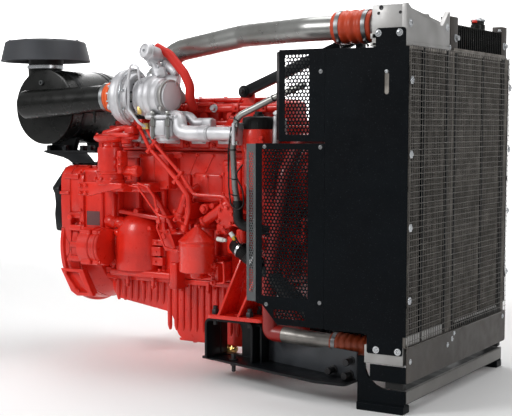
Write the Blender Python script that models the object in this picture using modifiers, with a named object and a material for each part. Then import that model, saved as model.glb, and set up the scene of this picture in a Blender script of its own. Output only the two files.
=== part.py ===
"""Diesel power unit for a fire pump: an in-line engine with its turbocharger, air cleaner and cooling pack.

Metres, +Z up. +X runs along the crankshaft from the flywheel to the radiator, and -Y is the turbocharger side.
The origin is under the middle of the unit, on the plane that its front feet stand on.
"""

import math

import bmesh
import bpy
from mathutils import Matrix, Vector

GAP = 0.0005  # clearance between pieces that touch on the real unit

# Driving dimensions
GRILLE_X = 1.105  # front face of the cooling pack
PACK_HALF = 0.520  # half the width over the side panels
PACK_LOW = 0.247  # lower and upper ends of the cooler cores
PACK_HIGH = 1.325
CRANK_Z = 0.500  # height of the crankshaft axis
FAN_Z = 0.790  # height of the fan axis
HOUSING_REAR = -0.720  # mounting face of the flywheel housing
REGISTER_R = 0.2556  # bore of an SAE 1 flywheel housing
BLOCK_REAR, BLOCK_FRONT = -0.500, 0.420
BLOCK_HALF = 0.210
DECK_Z = 0.935  # joint between the cylinder block and the head
SUMP_Z = 0.385  # joint between the cylinder block and the sump
SHEET = 0.003  # thickness of the sheet metal
FIRST_PORT, PORT_PITCH = -0.400, 0.134  # along the cylinder head
TURBO_Y, TURBO_Z = -0.330, 1.165  # turbocharger shaft axis
DUCT_END_X = -0.442  # front end of the duct from the air cleaner
CLEANER_X, CLEANER_Z, CLEANER_R = -0.825, 1.130, 0.172  # air cleaner drum
INLET_X, INLET_Y = -0.921, -0.130  # tangential inlet of the air cleaner
CHARGE_Y, CHARGE_Z, CHARGE_R = -0.400, 1.408, 0.048  # pipe to the charge air cooler
RETURN_Y, RETURN_Z, RETURN_R = -0.350, 0.205, 0.029  # pipe from the charge air cooler
FLANGE_TOP = 0.089  # top of the base rails' bottom flange
WEB_TOP = 0.160  # top of the base rails' upright web
LEG_TOP = 0.256  # top of the front engine legs
TANK_TOP = 1.435  # top of the radiator's upper tank
FILLER_AT = (1.035, 0.320)  # its filler neck
CRANK_PULLEY_R, FAN_PULLEY_R, IDLER_R = 0.120, 0.090, 0.035
BELT_X0, BELT_X1 = 0.500, 0.526

MATERIALS = {
    "red_paint": ((0.80, 0.045, 0.015), 0.30, 0.0),
    "black_paint": ((0.012, 0.012, 0.014), 0.45, 0.0),
    "black_plastic": ((0.015, 0.015, 0.016), 0.50, 0.0),
    "bare_aluminium": ((0.66, 0.67, 0.68), 0.42, 0.9),
    "zinc_steel": ((0.55, 0.54, 0.50), 0.38, 0.9),
    "dark_steel": ((0.16, 0.14, 0.12), 0.45, 0.8),
    "core_metal": ((0.20, 0.19, 0.18), 0.55, 0.7),
    "orange_rubber": ((0.75, 0.12, 0.02), 0.60, 0.0),
    "black_rubber": ((0.02, 0.02, 0.02), 0.75, 0.0),
}

AXES = {
    "X": Matrix.Rotation(math.radians(90), 4, "Y"),
    "Y": Matrix.Rotation(math.radians(-90), 4, "X"),
    "Z": Matrix.Identity(4),
}


def clear_scene():
    for obj in list(bpy.data.objects):
        bpy.data.objects.remove(obj, do_unlink=True)


def make_collection(name):
    collection = bpy.data.collections.new(name)
    bpy.context.scene.collection.children.link(collection)
    return collection


def make_materials():
    made = {}
    for name, (colour, roughness, metallic) in MATERIALS.items():
        material = bpy.data.materials.new(name)
        material.use_nodes = True
        shader = material.node_tree.nodes["Principled BSDF"]
        shader.inputs["Base Color"].default_value = (*colour, 1.0)
        shader.inputs["Roughness"].default_value = roughness
        shader.inputs["Metallic"].default_value = metallic
        made[name] = material
    return made


clear_scene()
UNIT = make_collection("diesel_power_unit")
CUTTERS = make_collection("cutters")
PAINTS = make_materials()


# --- shapes -------------------------------------------------------------------


def add(name, data, location=(0, 0, 0), turn=None):
    """A new object of the unit, at its place."""
    obj = bpy.data.objects.new(name, data)
    obj.matrix_world = Matrix.Translation(location) @ (turn or Matrix.Identity(4))
    UNIT.objects.link(obj)
    return obj


def soften(obj, width, segments=1):
    if width:
        bevel = obj.modifiers.new("edges", "BEVEL")
        bevel.width = width
        bevel.segments = segments
        bevel.limit_method = "ANGLE"
    return obj


def box(name, low, high, bevel=0.0):
    """A box between two corners, with its origin in the middle."""
    low, high = Vector(low), Vector(high)
    size = high - low
    form = bmesh.new()
    bmesh.ops.create_cube(form, size=1.0)
    bmesh.ops.scale(form, vec=size, verts=form.verts)
    data = bpy.data.meshes.new(name)
    form.to_mesh(data)
    form.free()
    return soften(add(name, data, (low + high) / 2), bevel)


def drum(name, centre, axis, length, radius, sides=16, end_radius=None):
    """A cylinder or cone that starts at centre and runs along +axis."""
    form = bmesh.new()
    far = radius if end_radius is None else end_radius
    bmesh.ops.create_cone(form, cap_ends=True, segments=sides, radius1=radius, radius2=far, depth=length)
    bmesh.ops.translate(form, vec=(0, 0, length / 2), verts=form.verts)
    data = bpy.data.meshes.new(name)
    form.to_mesh(data)
    form.free()
    data.shade_smooth()
    data.set_sharp_from_angle(angle=math.radians(40))
    return add(name, data, centre, AXES[axis])


def turned(name, centre, axis, profile, steps=20):
    """A turned piece. The profile holds (radius, place along the axis), from the far end back on the outside.

    It closes on itself, except along the axis, where two points with no radius stay apart."""
    form = bmesh.new()
    points = [form.verts.new((radius, 0, along)) for radius, along in profile]
    for first, second in zip(points, points[1:] + points[:1]):
        if first.co.x or second.co.x:
            form.edges.new((first, second))
    data = bpy.data.meshes.new(name)
    form.to_mesh(data)
    form.free()
    obj = add(name, data, centre, AXES[axis])
    screw = obj.modifiers.new("turn", "SCREW")
    screw.steps = screw.render_steps = steps
    screw.use_merge_vertices = True
    screw.merge_threshold = 0.00005
    screw.use_smooth_shade = True
    return obj


def outline_curve(name, outlines, thickness):
    data = bpy.data.curves.new(name, "CURVE")
    data.dimensions = "2D"
    data.fill_mode = "BOTH"
    data.extrude = thickness / 2
    for outline in outlines:
        spline = data.splines.new("POLY")
        spline.points.add(len(outline) - 1)
        for point, (u, v) in zip(spline.points, outline):
            point.co = (u, v, 0, 1)
        spline.use_cyclic_u = True
    return data


FACING = {
    # columns: where the outline's first axis, second axis and thickness go
    "X": Matrix(((0, 0, 1, 0), (1, 0, 0, 0), (0, 1, 0, 0), (0, 0, 0, 1))),
    "Y": Matrix(((1, 0, 0, 0), (0, 0, -1, 0), (0, 1, 0, 0), (0, 0, 0, 1))),
    "Z": Matrix.Identity(4),
}


def plate(name, facing, low, high, outline, holes=()):
    """A flat piece. Its outline and holes are (Y, Z), (X, Z) or (X, Y), and it lies between low and high."""
    data = outline_curve(name, [outline, *holes], high - low)
    middle = FACING[facing].to_3x3() @ Vector((0, 0, 1))
    middle = Vector([abs(value) for value in middle]) * (low + high) / 2
    return as_mesh(add(name, data, middle, FACING[facing]))


def as_mesh(obj):
    """The same piece as a closed mesh, so that it can be cut and joined."""
    bpy.context.view_layer.update()
    evaluated = obj.evaluated_get(bpy.context.evaluated_depsgraph_get())
    data = bpy.data.meshes.new_from_object(evaluated)
    form = bmesh.new()
    form.from_mesh(data)
    bmesh.ops.remove_doubles(form, verts=form.verts, dist=0.00002)
    bmesh.ops.recalc_face_normals(form, faces=form.faces)
    form.to_mesh(data)
    form.free()
    name, matrix = obj.name, obj.matrix_world.copy()
    bpy.data.objects.remove(obj, do_unlink=True)
    return add(name, data, matrix.to_translation(), matrix.to_3x3().to_4x4())


def rounded_route(corners, bend, steps):
    """The corners joined by straight runs, each inner corner turned into an arc of about this radius."""
    corners = [Vector(corner) for corner in corners]
    route = [corners[0]]
    for before, corner, after in zip(corners, corners[1:], corners[2:]):
        arriving = (corner - before).normalized()
        leaving = (after - corner).normalized()
        angle = arriving.angle(leaving)
        if angle < 0.02:
            route.append(corner)
            continue
        most = 0.49 * min((corner - before).length, (after - corner).length)
        setback = min(bend * math.tan(angle / 2), most)
        radius = setback / math.tan(angle / 2)
        start = corner - arriving * setback
        inward = (leaving - arriving * leaving.dot(arriving)).normalized()
        centre = start + inward * radius
        for step in range(steps + 1):
            swept = angle * step / steps
            route.append(centre - inward * radius * math.cos(swept) + arriving * radius * math.sin(swept))
    route.append(corners[-1])
    return route


def pipe(name, corners, radius, bend, steps=3, resolution=2):
    """A round bar that follows the corners, with arcs at the bends."""
    data = bpy.data.curves.new(name, "CURVE")
    data.dimensions = "3D"
    data.bevel_depth = radius
    data.bevel_resolution = resolution
    data.use_fill_caps = True
    route = rounded_route(corners, bend, steps)
    spline = data.splines.new("POLY")
    spline.points.add(len(route) - 1)
    for point, place in zip(spline.points, route):
        point.co = (*place, 1)
    return as_mesh(add(name, data))


def put_away(tool):
    """A tool shapes another piece and isn't part of the unit."""
    tool.hide_render = True
    tool.display_type = "WIRE"
    UNIT.objects.unlink(tool)
    CUTTERS.objects.link(tool)


def combine(operation, piece, tools):
    for tool in tools:
        change = piece.modifiers.new(tool.name, "BOOLEAN")
        change.operation = operation
        change.solver = "EXACT"
        change.object = tool
        put_away(tool)
    return piece


def join(piece, *tools):
    return combine("UNION", piece, tools)


def cut(piece, *tools):
    return combine("DIFFERENCE", piece, tools)


def paint(name, *pieces):
    for piece in pieces:
        piece.data.materials.clear()
        piece.data.materials.append(PAINTS[name])


def arc(centre, radius, start, end, steps):
    """Points along an arc, with its angles in degrees."""
    points = []
    for step in range(steps + 1):
        angle = math.radians(start + (end - start) * step / steps)
        points.append((centre[0] + radius * math.cos(angle), centre[1] + radius * math.sin(angle)))
    return points


def rectangle(low, high):
    return [(low[0], low[1]), (high[0], low[1]), (high[0], high[1]), (low[0], high[1])]


# --- base frame ---------------------------------------------------------------


def base_rail(name, side):
    """A toed-in rail: bottom flange, upright web and the leg under the engine's front foot."""
    outer = [(0.105, 0.346), (0.735, 0.526), *arc((0.841, 0.500), 0.020, 90, 0, 2)]
    inner = [(0.865, 0.395), (0.735, 0.380), (0.105, 0.190)]
    flange_outline = [(x, side * y) for x, y in outer + inner]
    flange = plate(name, "Z", FLANGE_TOP - 0.010, FLANGE_TOP, flange_outline)
    web_line = [(0.393, 0.281), (0.860, 0.420)]
    thick = 0.010
    web_outline = [(x, side * y) for x, y in web_line]
    web_outline += [(x, side * (y - thick)) for x, y in reversed(web_line)]
    web = plate(name + "_web", "Z", FLANGE_TOP - 0.004, WEB_TOP, web_outline)
    leg_near, leg_far = sorted((side * 0.372, side * 0.212))
    leg = box(name + "_leg", (0.135, leg_near, FLANGE_TOP - 0.004), (0.367, leg_far, LEG_TOP))
    inside = box(name + "_leg_inside", (0.146, leg_near - 0.1, FLANGE_TOP), (0.356, leg_far + 0.1, LEG_TOP - 0.011))
    cut(leg, inside)
    mid_near, mid_far = sorted((side * 0.232, side * 0.222))
    window = [(0.200, 0.06), (0.310, 0.06), (0.310, 0.150), (0.290, 0.205), (0.255, 0.235), (0.220, 0.205)]
    window.append((0.200, 0.150))
    gusset = plate(name + "_gusset", "Y", mid_near, mid_far, rectangle((0.140, FLANGE_TOP - 0.004), (0.362, 0.251)))
    opening = plate(name + "_window", "Y", mid_near - 0.02, mid_far + 0.02, window)
    cut(gusset, opening)
    join(flange, web, leg, gusset)
    return flange


def front_cross_member():
    """The welded front frame: a channel across, with an upright bracket and a foot at each end."""
    beam = box("front_cross_member", (1.030, -0.505, 0.036), (1.098, 0.505, 0.084))
    channel = box("cross_member_inside", (0.9, -0.480, 0.042), (1.091, 0.480, 0.078))
    cut(beam, channel)
    ends = []
    for side in (-1, 1):
        near, far = sorted((side * 0.510, side * 0.498))
        outline = [(0.907, 0.004), (1.096, 0.004), (1.096, 0.086), (1.030, 0.086)]
        outline += arc((1.025, 0.176), 0.090, 270, 180, 6)
        outline += [(0.935, 0.200), (0.907, 0.200)]
        bracket = plate("front_bracket", "Y", near, far, outline)
        foot_near, foot_far = sorted((side * 0.520, side * 0.462))
        foot = box("front_foot", (0.907, foot_near, 0.0), (1.096, foot_far, 0.030), 0.003)
        ends += [bracket, foot]
    return join(beam, *ends)


def engine_foot(name, side):
    """A red bracket that carries the engine's front end on the leg."""
    near, far = sorted((side * 0.380, side * 0.226))
    foot = box(name, (0.150, near, LEG_TOP + GAP), (0.412, far, 0.272))
    back_near, back_far = sorted((side * 0.242, side * 0.227))
    back = box(name + "_back", (0.185, back_near, 0.268), (0.400, back_far, 0.560), 0.0)
    ribs = []
    for number, x in enumerate((0.195, 0.330)):
        outline = [(side * 0.375, 0.268), (side * 0.235, 0.268), (side * 0.235, 0.520), (side * 0.262, 0.520)]
        ribs.append(plate(f"{name}_rib_{number}", "X", x, x + 0.012, outline))
    return join(foot, back, *ribs)


# --- cooling pack -------------------------------------------------------------


def cooler_core(name, near, far):
    core = box(name, (1.000, near, PACK_LOW), (1.092, far, PACK_HIGH))
    slots = []
    count = 5
    pitch = (far - near) / count
    for number in range(1, count):
        at = near + number * pitch
        slots.append(box(f"{name}_slot_{number}", (1.082, at - 0.004, 0.2), (1.2, at + 0.004, 1.4)))
    return cut(core, *slots)


def charge_top_tank():
    """The cast upper tank of the charge air cooler, with its inlet stub at the back."""
    outline = [(-0.5165, PACK_HIGH + GAP), (-0.120, PACK_HIGH + GAP), (-0.120, 1.425), (-0.160, 1.443), (-0.5165, 1.474)]
    tank = plate("charge_cooler_top_tank", "X", 0.931, 1.092, outline)
    hollow = box("tank_hollow", (0.940, -0.508, 1.30), (1.083, -0.129, 1.41))
    stub = drum("tank_stub", (0.867, CHARGE_Y, CHARGE_Z), "X", 0.075, 0.049)
    bore = drum("stub_bore", (0.8, CHARGE_Y, CHARGE_Z), "X", 0.2, 0.042)
    join(tank, stub)
    return cut(tank, hollow, bore)


def charge_bottom_tank():
    tank = box("charge_cooler_bottom_tank", (0.9365, -0.5165, 0.178), (1.092, -0.100, PACK_LOW - GAP))
    stub = drum("bottom_stub", (0.890, RETURN_Y, RETURN_Z), "X", 0.05, RETURN_R)
    hollow = box("bottom_hollow", (0.948, -0.505, 0.186), (1.080, -0.112, 0.3))
    bore = drum("bottom_bore", (0.8, RETURN_Y, RETURN_Z), "X", 0.2, RETURN_R - 0.006)
    join(tank, stub)
    return cut(tank, hollow, bore)


def radiator_top_tank():
    tank = box("radiator_top_tank", (0.950, -0.090, PACK_HIGH + GAP), (1.092, 0.480, TANK_TOP), 0.004)
    post_near = box("radiator_post_near", (1.050, -0.108, PACK_HIGH + GAP), (1.092, -0.086, 1.458))
    post_far = box("radiator_post_far", (1.050, 0.474, PACK_HIGH + GAP), (1.092, 0.498, 1.458))
    neck = drum("filler_neck", (*FILLER_AT, TANK_TOP - 0.005), "Z", 0.030, 0.030)
    bore = drum("filler_bore", (*FILLER_AT, 1.340), "Z", 0.2, 0.024)
    hollow = box("radiator_hollow", (0.956, -0.080, 1.30), (1.086, 0.470, TANK_TOP - 0.006))
    join(tank, post_near, post_far, neck)
    return cut(tank, hollow, bore)


def radiator_cap():
    profile = [(0, 0.027), (0.012, 0.027), (0.014, 0.020), (0.033, 0.020), (0.038, 0.014), (0.038, 0.0), (0, 0.0)]
    base = TANK_TOP + 0.0255
    cap = turned("radiator_cap", (*FILLER_AT, base), "Z", profile, 24)
    x, y = FILLER_AT
    tab = box("cap_tab", (x, y - 0.006, base + 0.001), (x + 0.052, y + 0.006, base + 0.013))
    return join(cap, tab)


def side_panel(name, side):
    """A flat side sheet with a tab at each end that bolts to the charge air cooler's tanks."""
    outline = [(0.770, 0.286), (0.948, 0.286), (0.948, 0.216), (1.090, 0.216), (1.090, 0.286), (1.103, 0.286)]
    outline += [(1.103, 1.323), (1.090, 1.323), (1.090, 1.389), (0.973, 1.389), (0.973, 1.323), (0.770, 1.323)]
    slot = arc((1.017, 1.228), 0.006, 0, 180, 4) + arc((1.017, 1.162), 0.006, 180, 360, 4)
    near, far = sorted((side * PACK_HALF, side * (PACK_HALF - SHEET)))
    return plate(name, "Y", near, far, outline, [slot])


def lower_cover_plate():
    plate_low, plate_high = 0.116, PACK_LOW + 0.001
    cover = box("lower_cover_plate", (GRILLE_X, -PACK_HALF, plate_low), (GRILLE_X + SHEET, PACK_HALF, plate_high))
    returns = []
    for side in (-1, 1):
        near, far = sorted((side * (PACK_HALF - GAP), side * (PACK_HALF - SHEET)))
        returns.append(box("cover_return", (0.962, near, plate_low + 0.002), (GRILLE_X + 0.001, far, 0.177)))
    return join(cover, *returns)


def front_grille():
    """The stone guard: upright bars with the level ones welded on in front, and the heads of its bolts."""
    low_z, high_z = PACK_LOW + 0.0015, 1.326
    half = PACK_HALF - 0.004
    upright, level = 6, 6
    bars = []
    for number in range(upright):
        y = -half + 2 * half * number / (upright - 1)
        name = f"grille_bar_{number}" if number else "front_grille"
        bars.append(box(name, (GRILLE_X + GAP, y - 0.004, low_z), (GRILLE_X + 0.004, y + 0.004, high_z)))
    for number in range(level):
        z = low_z + 0.006 + (high_z - low_z - 0.012) * number / (level - 1)
        low = (GRILLE_X + 0.002, -half - 0.002, z - 0.004)
        bars.append(box("grille_level", low, (GRILLE_X + 0.006, half + 0.002, z + 0.004)))
        if number in (1, 4):
            for y in (-half + 0.008, half - 0.008):
                bars.append(drum("grille_bolt", (GRILLE_X + 0.003, y, z), "X", 0.013, 0.0087, 8))
    return join(*bars)


def fan_shroud():
    """The box behind the cores, open to them, with a round opening and a ring for the fan."""
    half = PACK_HALF - SHEET - GAP
    low, high = 0.2885, 1.3205
    shroud = box("fan_shroud", (0.773, -half, low), (0.990, half, high))
    hollow = box("shroud_hollow", (0.773 + SHEET, -half + SHEET, low + SHEET), (1.1, half - SHEET, high - SHEET))
    ring = drum("shroud_ring", (0.700, 0, FAN_Z), "X", 0.075, 0.402, 32)
    opening = drum("shroud_opening", (0.650, 0, FAN_Z), "X", 0.15, 0.396, 32)
    cut(shroud, hollow)
    join(shroud, ring)
    return cut(shroud, opening)


def guard_sheet(name, side, outline, fold_x, fold_low, fold_high):
    """A flat guard with an edge strip folded inwards at 45 degrees."""
    near, far = sorted((side * PACK_HALF, side * (PACK_HALF - SHEET)))
    sheet = plate(name, "Y", near, far, outline)
    depth = 0.036
    fold = [(fold_x + 0.0015, side * PACK_HALF), (fold_x - depth, side * (PACK_HALF - depth - 0.0015))]
    fold += [(x + SHEET, side * (abs(y) - SHEET * 0.41)) for x, y in reversed(fold)]
    strip = plate(name + "_fold", "Z", fold_low, fold_high, fold)
    return join(sheet, strip)


def guards():
    upper = rectangle((0.575, 0.985), (0.7695, 1.326))
    lower = [(0.472, 0.360), (0.500, 0.360), (0.568, 0.287), (0.7695, 0.287), (0.7695, 0.978), (0.472, 0.978)]
    right_upper = guard_sheet("upper_guard_right", -1, upper, 0.576, 0.990, 1.320)
    right_lower = guard_sheet("lower_guard_right", -1, lower, 0.473, 0.365, 0.973)
    whole = [(0.472, 0.360), (0.500, 0.360), (0.568, 0.287), (0.7695, 0.287), (0.7695, 1.326), (0.575, 1.326)]
    whole += [(0.575, 0.985), (0.472, 0.978)]
    left = guard_sheet("fan_guard_left", 1, whole, 0.473, 0.365, 0.973)
    return right_upper, right_lower, left


# --- fan and belt drive -------------------------------------------------------


def fan():
    """Eight pitched blades on a disc."""
    blades = []
    count = 8
    centre = Vector((0.738, 0, FAN_Z))
    hub = drum("fan", (0.722, 0, FAN_Z), "X", 0.032, 0.105, 20)
    for number in range(count):
        blade = box(f"blade_{number}", (-0.003, -0.050, 0.090), (0.003, 0.050, 0.385))
        spin = Matrix.Rotation(2 * math.pi * number / count, 4, "X")
        pitch = Matrix.Rotation(math.radians(58), 4, "Z")
        blade.matrix_world = Matrix.Translation(centre) @ spin @ pitch @ blade.matrix_world
        blades.append(blade)
    return join(hub, *blades)


def fan_hub():
    profile = [(0, 0.7215), (0.060, 0.7215), (0.060, 0.700), (0.040, 0.695), (0.040, 0.530), (FAN_PULLEY_R, 0.528)]
    profile += [(FAN_PULLEY_R, 0.498), (0.030, 0.496), (0.030, 0.470), (0, 0.470)]
    return turned("fan_hub", (0, 0, FAN_Z), "X", profile)


def coolant_pump():
    """The pump body on the block's front, which carries the fan shaft."""
    profile = [(0.060, 0.492), (0.075, 0.465), (0.105, 0.460), (0.105, BLOCK_FRONT + GAP)]
    profile += [(0, BLOCK_FRONT + GAP), (0, 0.468), (0.031, 0.468), (0.031, 0.492)]
    return turned("coolant_pump", (0, 0, FAN_Z), "X", profile)


ALTERNATOR_Y, ALTERNATOR_Z = 0.290, 0.700
IDLER_Y, IDLER_Z = -0.125, 0.650
TENSIONER_Y, TENSIONER_Z = -0.128, 0.572  # pivot of the tensioner arm
PULLEYS = (
    (0.0, CRANK_Z, CRANK_PULLEY_R),
    (ALTERNATOR_Y, ALTERNATOR_Z, IDLER_R),
    (0.0, FAN_Z, FAN_PULLEY_R),
    (IDLER_Y, IDLER_Z, IDLER_R),
)


def belt_outline(offset):
    """The closed loop round all the pulleys, this far outside them. The pulleys go round anticlockwise in (Y, Z)."""
    points = []
    count = len(PULLEYS)
    headings = []
    for number in range(count):
        y0, z0, r0 = PULLEYS[number]
        y1, z1, r1 = PULLEYS[(number + 1) % count]
        run = math.hypot(y1 - y0, z1 - z0)
        along = math.atan2(z1 - z0, y1 - y0)
        headings.append(along - math.acos((r0 - r1) / run))
    for number in range(count):
        y, z, radius = PULLEYS[number]
        start, end = headings[number - 1], headings[number]
        while end < start:
            end += 2 * math.pi
        steps = max(2, round((end - start) / 0.30))
        points += arc((y, z), radius + offset, math.degrees(start), math.degrees(end), steps)
    return points


def drive_belt():
    return plate("drive_belt", "X", BELT_X0 + 0.003, BELT_X1 - 0.003, belt_outline(0.009), [belt_outline(0.003)])


def crank_pulley():
    profile = [(0, 0.550), (0.045, 0.550), (0.045, 0.530), (CRANK_PULLEY_R, 0.528), (CRANK_PULLEY_R, 0.498)]
    profile += [(0.110, 0.494), (0.118, 0.490), (0.118, 0.450), (0, 0.450)]
    return turned("crank_pulley", (0, 0, CRANK_Z), "X", profile, 24)


def alternator():
    """The alternator body, with a bore for the rotor shaft, on an arm from the block."""
    profile = [(0.010, 0.488), (0.055, 0.485), (0.068, 0.470), (0.068, 0.360), (0.050, 0.345), (0.010, 0.345)]
    body = turned("alternator", (0, ALTERNATOR_Y, ALTERNATOR_Z), "X", profile)
    arm = box("alternator_arm", (0.372, BLOCK_HALF + GAP, 0.600), (0.440, ALTERNATOR_Y, ALTERNATOR_Z - 0.030))
    return join(body, arm)


def alternator_rotor():
    profile = [(0, 0.534), (0.012, 0.534), (0.012, 0.528), (IDLER_R, 0.528), (IDLER_R, 0.498), (0.008, 0.494)]
    profile += [(0.008, 0.352), (0, 0.352)]
    return turned("alternator_rotor", (0, ALTERNATOR_Y, ALTERNATOR_Z), "X", profile)


def tensioner_arm():
    """A sprung arm that turns on a round base and holds the idler out against the belt."""
    pivot = drum("tensioner_arm", (BLOCK_FRONT + GAP, TENSIONER_Y, TENSIONER_Z), "X", 0.0585, 0.023)
    length = math.hypot(IDLER_Y - TENSIONER_Y, IDLER_Z - TENSIONER_Z)
    angle = math.atan2(IDLER_Z - TENSIONER_Z, IDLER_Y - TENSIONER_Y)
    bar = box("tensioner_bar", (0.460, 0, -0.012), (0.475, length, 0.012))
    swing = Matrix.Translation((0, TENSIONER_Y, TENSIONER_Z)) @ Matrix.Rotation(angle, 4, "X")
    bar.matrix_world = swing @ bar.matrix_world
    eye = drum("tensioner_eye", (0.460, IDLER_Y, IDLER_Z), "X", 0.015, 0.018)
    pin = drum("tensioner_pin", (0.460, IDLER_Y, IDLER_Z), "X", 0.072, 0.008)
    return join(pivot, bar, eye, pin)


def tensioner_roller():
    profile = [(0.0095, 0.528), (IDLER_R, 0.528), (IDLER_R, 0.498), (0.0095, 0.498)]
    return turned("tensioner_roller", (0, IDLER_Y, IDLER_Z), "X", profile)


# --- engine -------------------------------------------------------------------


def cylinder_block():
    """The block with the crankshaft tunnel bored through it."""
    block = box("cylinder_block", (BLOCK_REAR, -BLOCK_HALF, SUMP_Z), (BLOCK_FRONT, BLOCK_HALF, DECK_Z), 0.008)
    tunnel = drum("crank_tunnel", (-0.6, 0, CRANK_Z), "X", 1.2, 0.080)
    return cut(block, tunnel)


def flywheel_housing():
    """The round bell with the timing gear case above it and a mounting pad on each side."""
    bell = drum("flywheel_housing", (HOUSING_REAR, 0, CRANK_Z), "X", 0.165, 0.284, 32)
    case_outline = [(-0.250, 0.420), (0.250, 0.420), (0.262, 0.740), (0.195, 0.868), (-0.195, 0.868), (-0.262, 0.740)]
    case = plate("gear_case", "X", -0.716, BLOCK_REAR - GAP, case_outline)
    pads = [box("mount_pad", (-0.680, -0.300, 0.285), (BLOCK_REAR - GAP, -0.120, 0.400), 0.004)]
    pads.append(box("mount_pad", (-0.680, 0.120, 0.285), (BLOCK_REAR - GAP, 0.300, 0.400), 0.004))
    boss = drum("pto_boss", (-0.562, -0.298, 0.506), "X", 0.082, 0.088)
    cover = drum("pto_cover", (-0.484, -0.298, 0.506), "X", 0.074, 0.080)
    cavity = drum("bell_cavity", (-0.8, 0, CRANK_Z), "X", 0.215, REGISTER_R, 32)
    shaft_hole = drum("shaft_hole", (-0.8, 0, CRANK_Z), "X", 0.4, 0.080)
    join(bell, case, *pads, boss, cover)
    return cut(bell, cavity, shaft_hole)


def crankshaft():
    """The main shaft with a web on each side of every throw."""
    shaft = drum("crankshaft", (-0.612, 0, CRANK_Z), "X", 1.0605, 0.045, 12)
    webs = []
    for number in range(7):
        webs.append(drum(f"crank_web_{number}", (-0.46 + number * 0.138, 0, CRANK_Z), "X", 0.030, 0.072, 12))
    return join(shaft, *webs)


def flywheel():
    profile = [(0, -0.6125), (0.215, -0.6125), (0.215, -0.620), (0.236, -0.620), (0.236, -0.645), (0.225, -0.645)]
    profile += [(0.225, -0.680), (0.200, -0.680), (0.200, -0.660), (0, -0.660)]
    return turned("flywheel", (0, 0, CRANK_Z), "X", profile, 28)


def oil_sump():
    """The sump: shallow at the back, deep under the front half, open at the top."""
    top = SUMP_Z - GAP
    outline = [(-0.495, top), (-0.495, 0.318), (-0.455, 0.268), (-0.200, 0.232), (-0.160, 0.205), (-0.140, 0.145)]
    outline += [(-0.105, 0.112), (0.290, 0.112), (0.330, 0.150), (0.390, 0.330), (0.390, top)]
    sump = plate("oil_sump", "Y", -0.185, 0.185, outline)
    flange = box("sump_flange", (-0.497, -0.222, 0.362), (0.415, 0.222, top))
    hollow = [(-0.480, 0.50), (-0.480, 0.325), (-0.448, 0.283), (-0.190, 0.246), (-0.146, 0.212), (-0.126, 0.152)]
    hollow += [(-0.098, 0.127), (0.282, 0.127), (0.317, 0.158), (0.372, 0.332), (0.372, 0.50)]
    inside = plate("sump_inside", "Y", -0.172, 0.172, hollow)
    join(sump, flange)
    return cut(sump, inside)


def cylinder_head():
    return box("cylinder_head", (-0.490, -0.200, DECK_Z + GAP), (0.410, 0.190, 1.045), 0.006)


def valve_cover():
    return box("valve_cover", (-0.480, -0.165, 1.0455), (0.400, 0.165, 1.168), 0.022)


def intake_manifold():
    """The log on the far side that shares the air out to the ports."""
    log = box("intake_manifold", (-0.440, 0.235, 0.925), (0.370, 0.330, 1.035), 0.020)
    ports = []
    for number in range(6):
        x = FIRST_PORT + number * PORT_PITCH
        ports.append(box(f"intake_port_{number}", (x - 0.032, 0.1905, 0.955), (x + 0.032, 0.245, 1.010)))
    inlet = drum("intake_inlet", (0.360, 0.283, 0.980), "X", 0.045, 0.034)
    return join(log, *ports, inlet)


def exhaust_manifold():
    """A cast log with a branch to each port and a seat for the turbocharger. Its rear half lies closer in."""
    front = drum("exhaust_manifold", (-0.110, TURBO_Y, 1.022), "X", 0.405, 0.027)
    end = drum("manifold_end", (0.288, TURBO_Y, 1.022), "X", 0.012, 0.046)
    rear = drum("manifold_rear", (-0.425, -0.260, 1.020), "X", 0.325, 0.020, 12)
    branches = []
    for number in range(6):
        x = FIRST_PORT + number * PORT_PITCH
        out = -0.260 if number < 3 else TURBO_Y
        branches.append(drum(f"branch_{number}", (x, out, 1.014), "Y", -0.205 - out, 0.018, 10))
        branches.append(box(f"port_flange_{number}", (x - 0.032, -0.212, 0.980), (x + 0.032, -0.2005, 1.040)))
    seat = box("turbo_seat", (-0.168, -0.382, 0.992), (-0.052, -0.245, 1.066), 0.006)
    return join(front, end, rear, *branches, seat)


# --- turbocharger -------------------------------------------------------------


def compressor_housing():
    """The compressor volute with its inlet, its rising outlet and the bearing housing, bored for the rotor."""
    profile = [(0.050, -0.2150), (0.050, -0.248), (0.092, -0.252), (0.112, -0.262), (0.122, -0.285), (0.116, -0.308)]
    profile += [(0.094, -0.326), (0.058, -0.334), (0.0550, -0.338), (0.0550, -0.368), (0.0470, -0.368)]
    profile += [(0.0470, -0.215)]
    volute = turned("compressor_housing", (0, TURBO_Y, TURBO_Z), "X", profile, 28)
    outlet = pipe("compressor_outlet", [(-0.2785, -0.2345, 1.1475), (-0.2255, -0.2055, 1.2395)], 0.038, 0)
    return join(volute, outlet)


def turbine_housing():
    """The turbine volute, closed by a blank at its outlet flange, on the foot that bolts to the manifold."""
    profile = [(0, -0.030), (0.064, -0.030), (0.066, -0.044), (0.060, -0.050), (0.060, -0.078), (0.074, -0.098)]
    profile += [(0.084, -0.118), (0.088, -0.150), (0.086, -0.180), (0.070, -0.205), (0.058, -0.2145)]
    profile += [(0.047, -0.2145), (0.047, -0.048), (0, -0.048)]
    volute = turned("turbine_housing", (0, TURBO_Y, TURBO_Z), "X", profile, 28)
    neck = box("turbine_neck", (-0.150, -0.372, 1.080), (-0.070, -0.288, 1.112))
    foot = box("turbine_foot", (-0.172, -0.388, 1.0665), (-0.048, -0.272, 1.0840))
    valve = pipe("bypass_valve", [(-0.112, -0.285, 1.255), (-0.050, -0.285, 1.226)], 0.026, 0)
    hole = drum("neck_clear", (-0.2155, TURBO_Y, TURBO_Z), "X", 0.168, 0.0476, 28)
    join(volute, neck, foot, valve)
    return cut(volute, hole)


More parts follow.
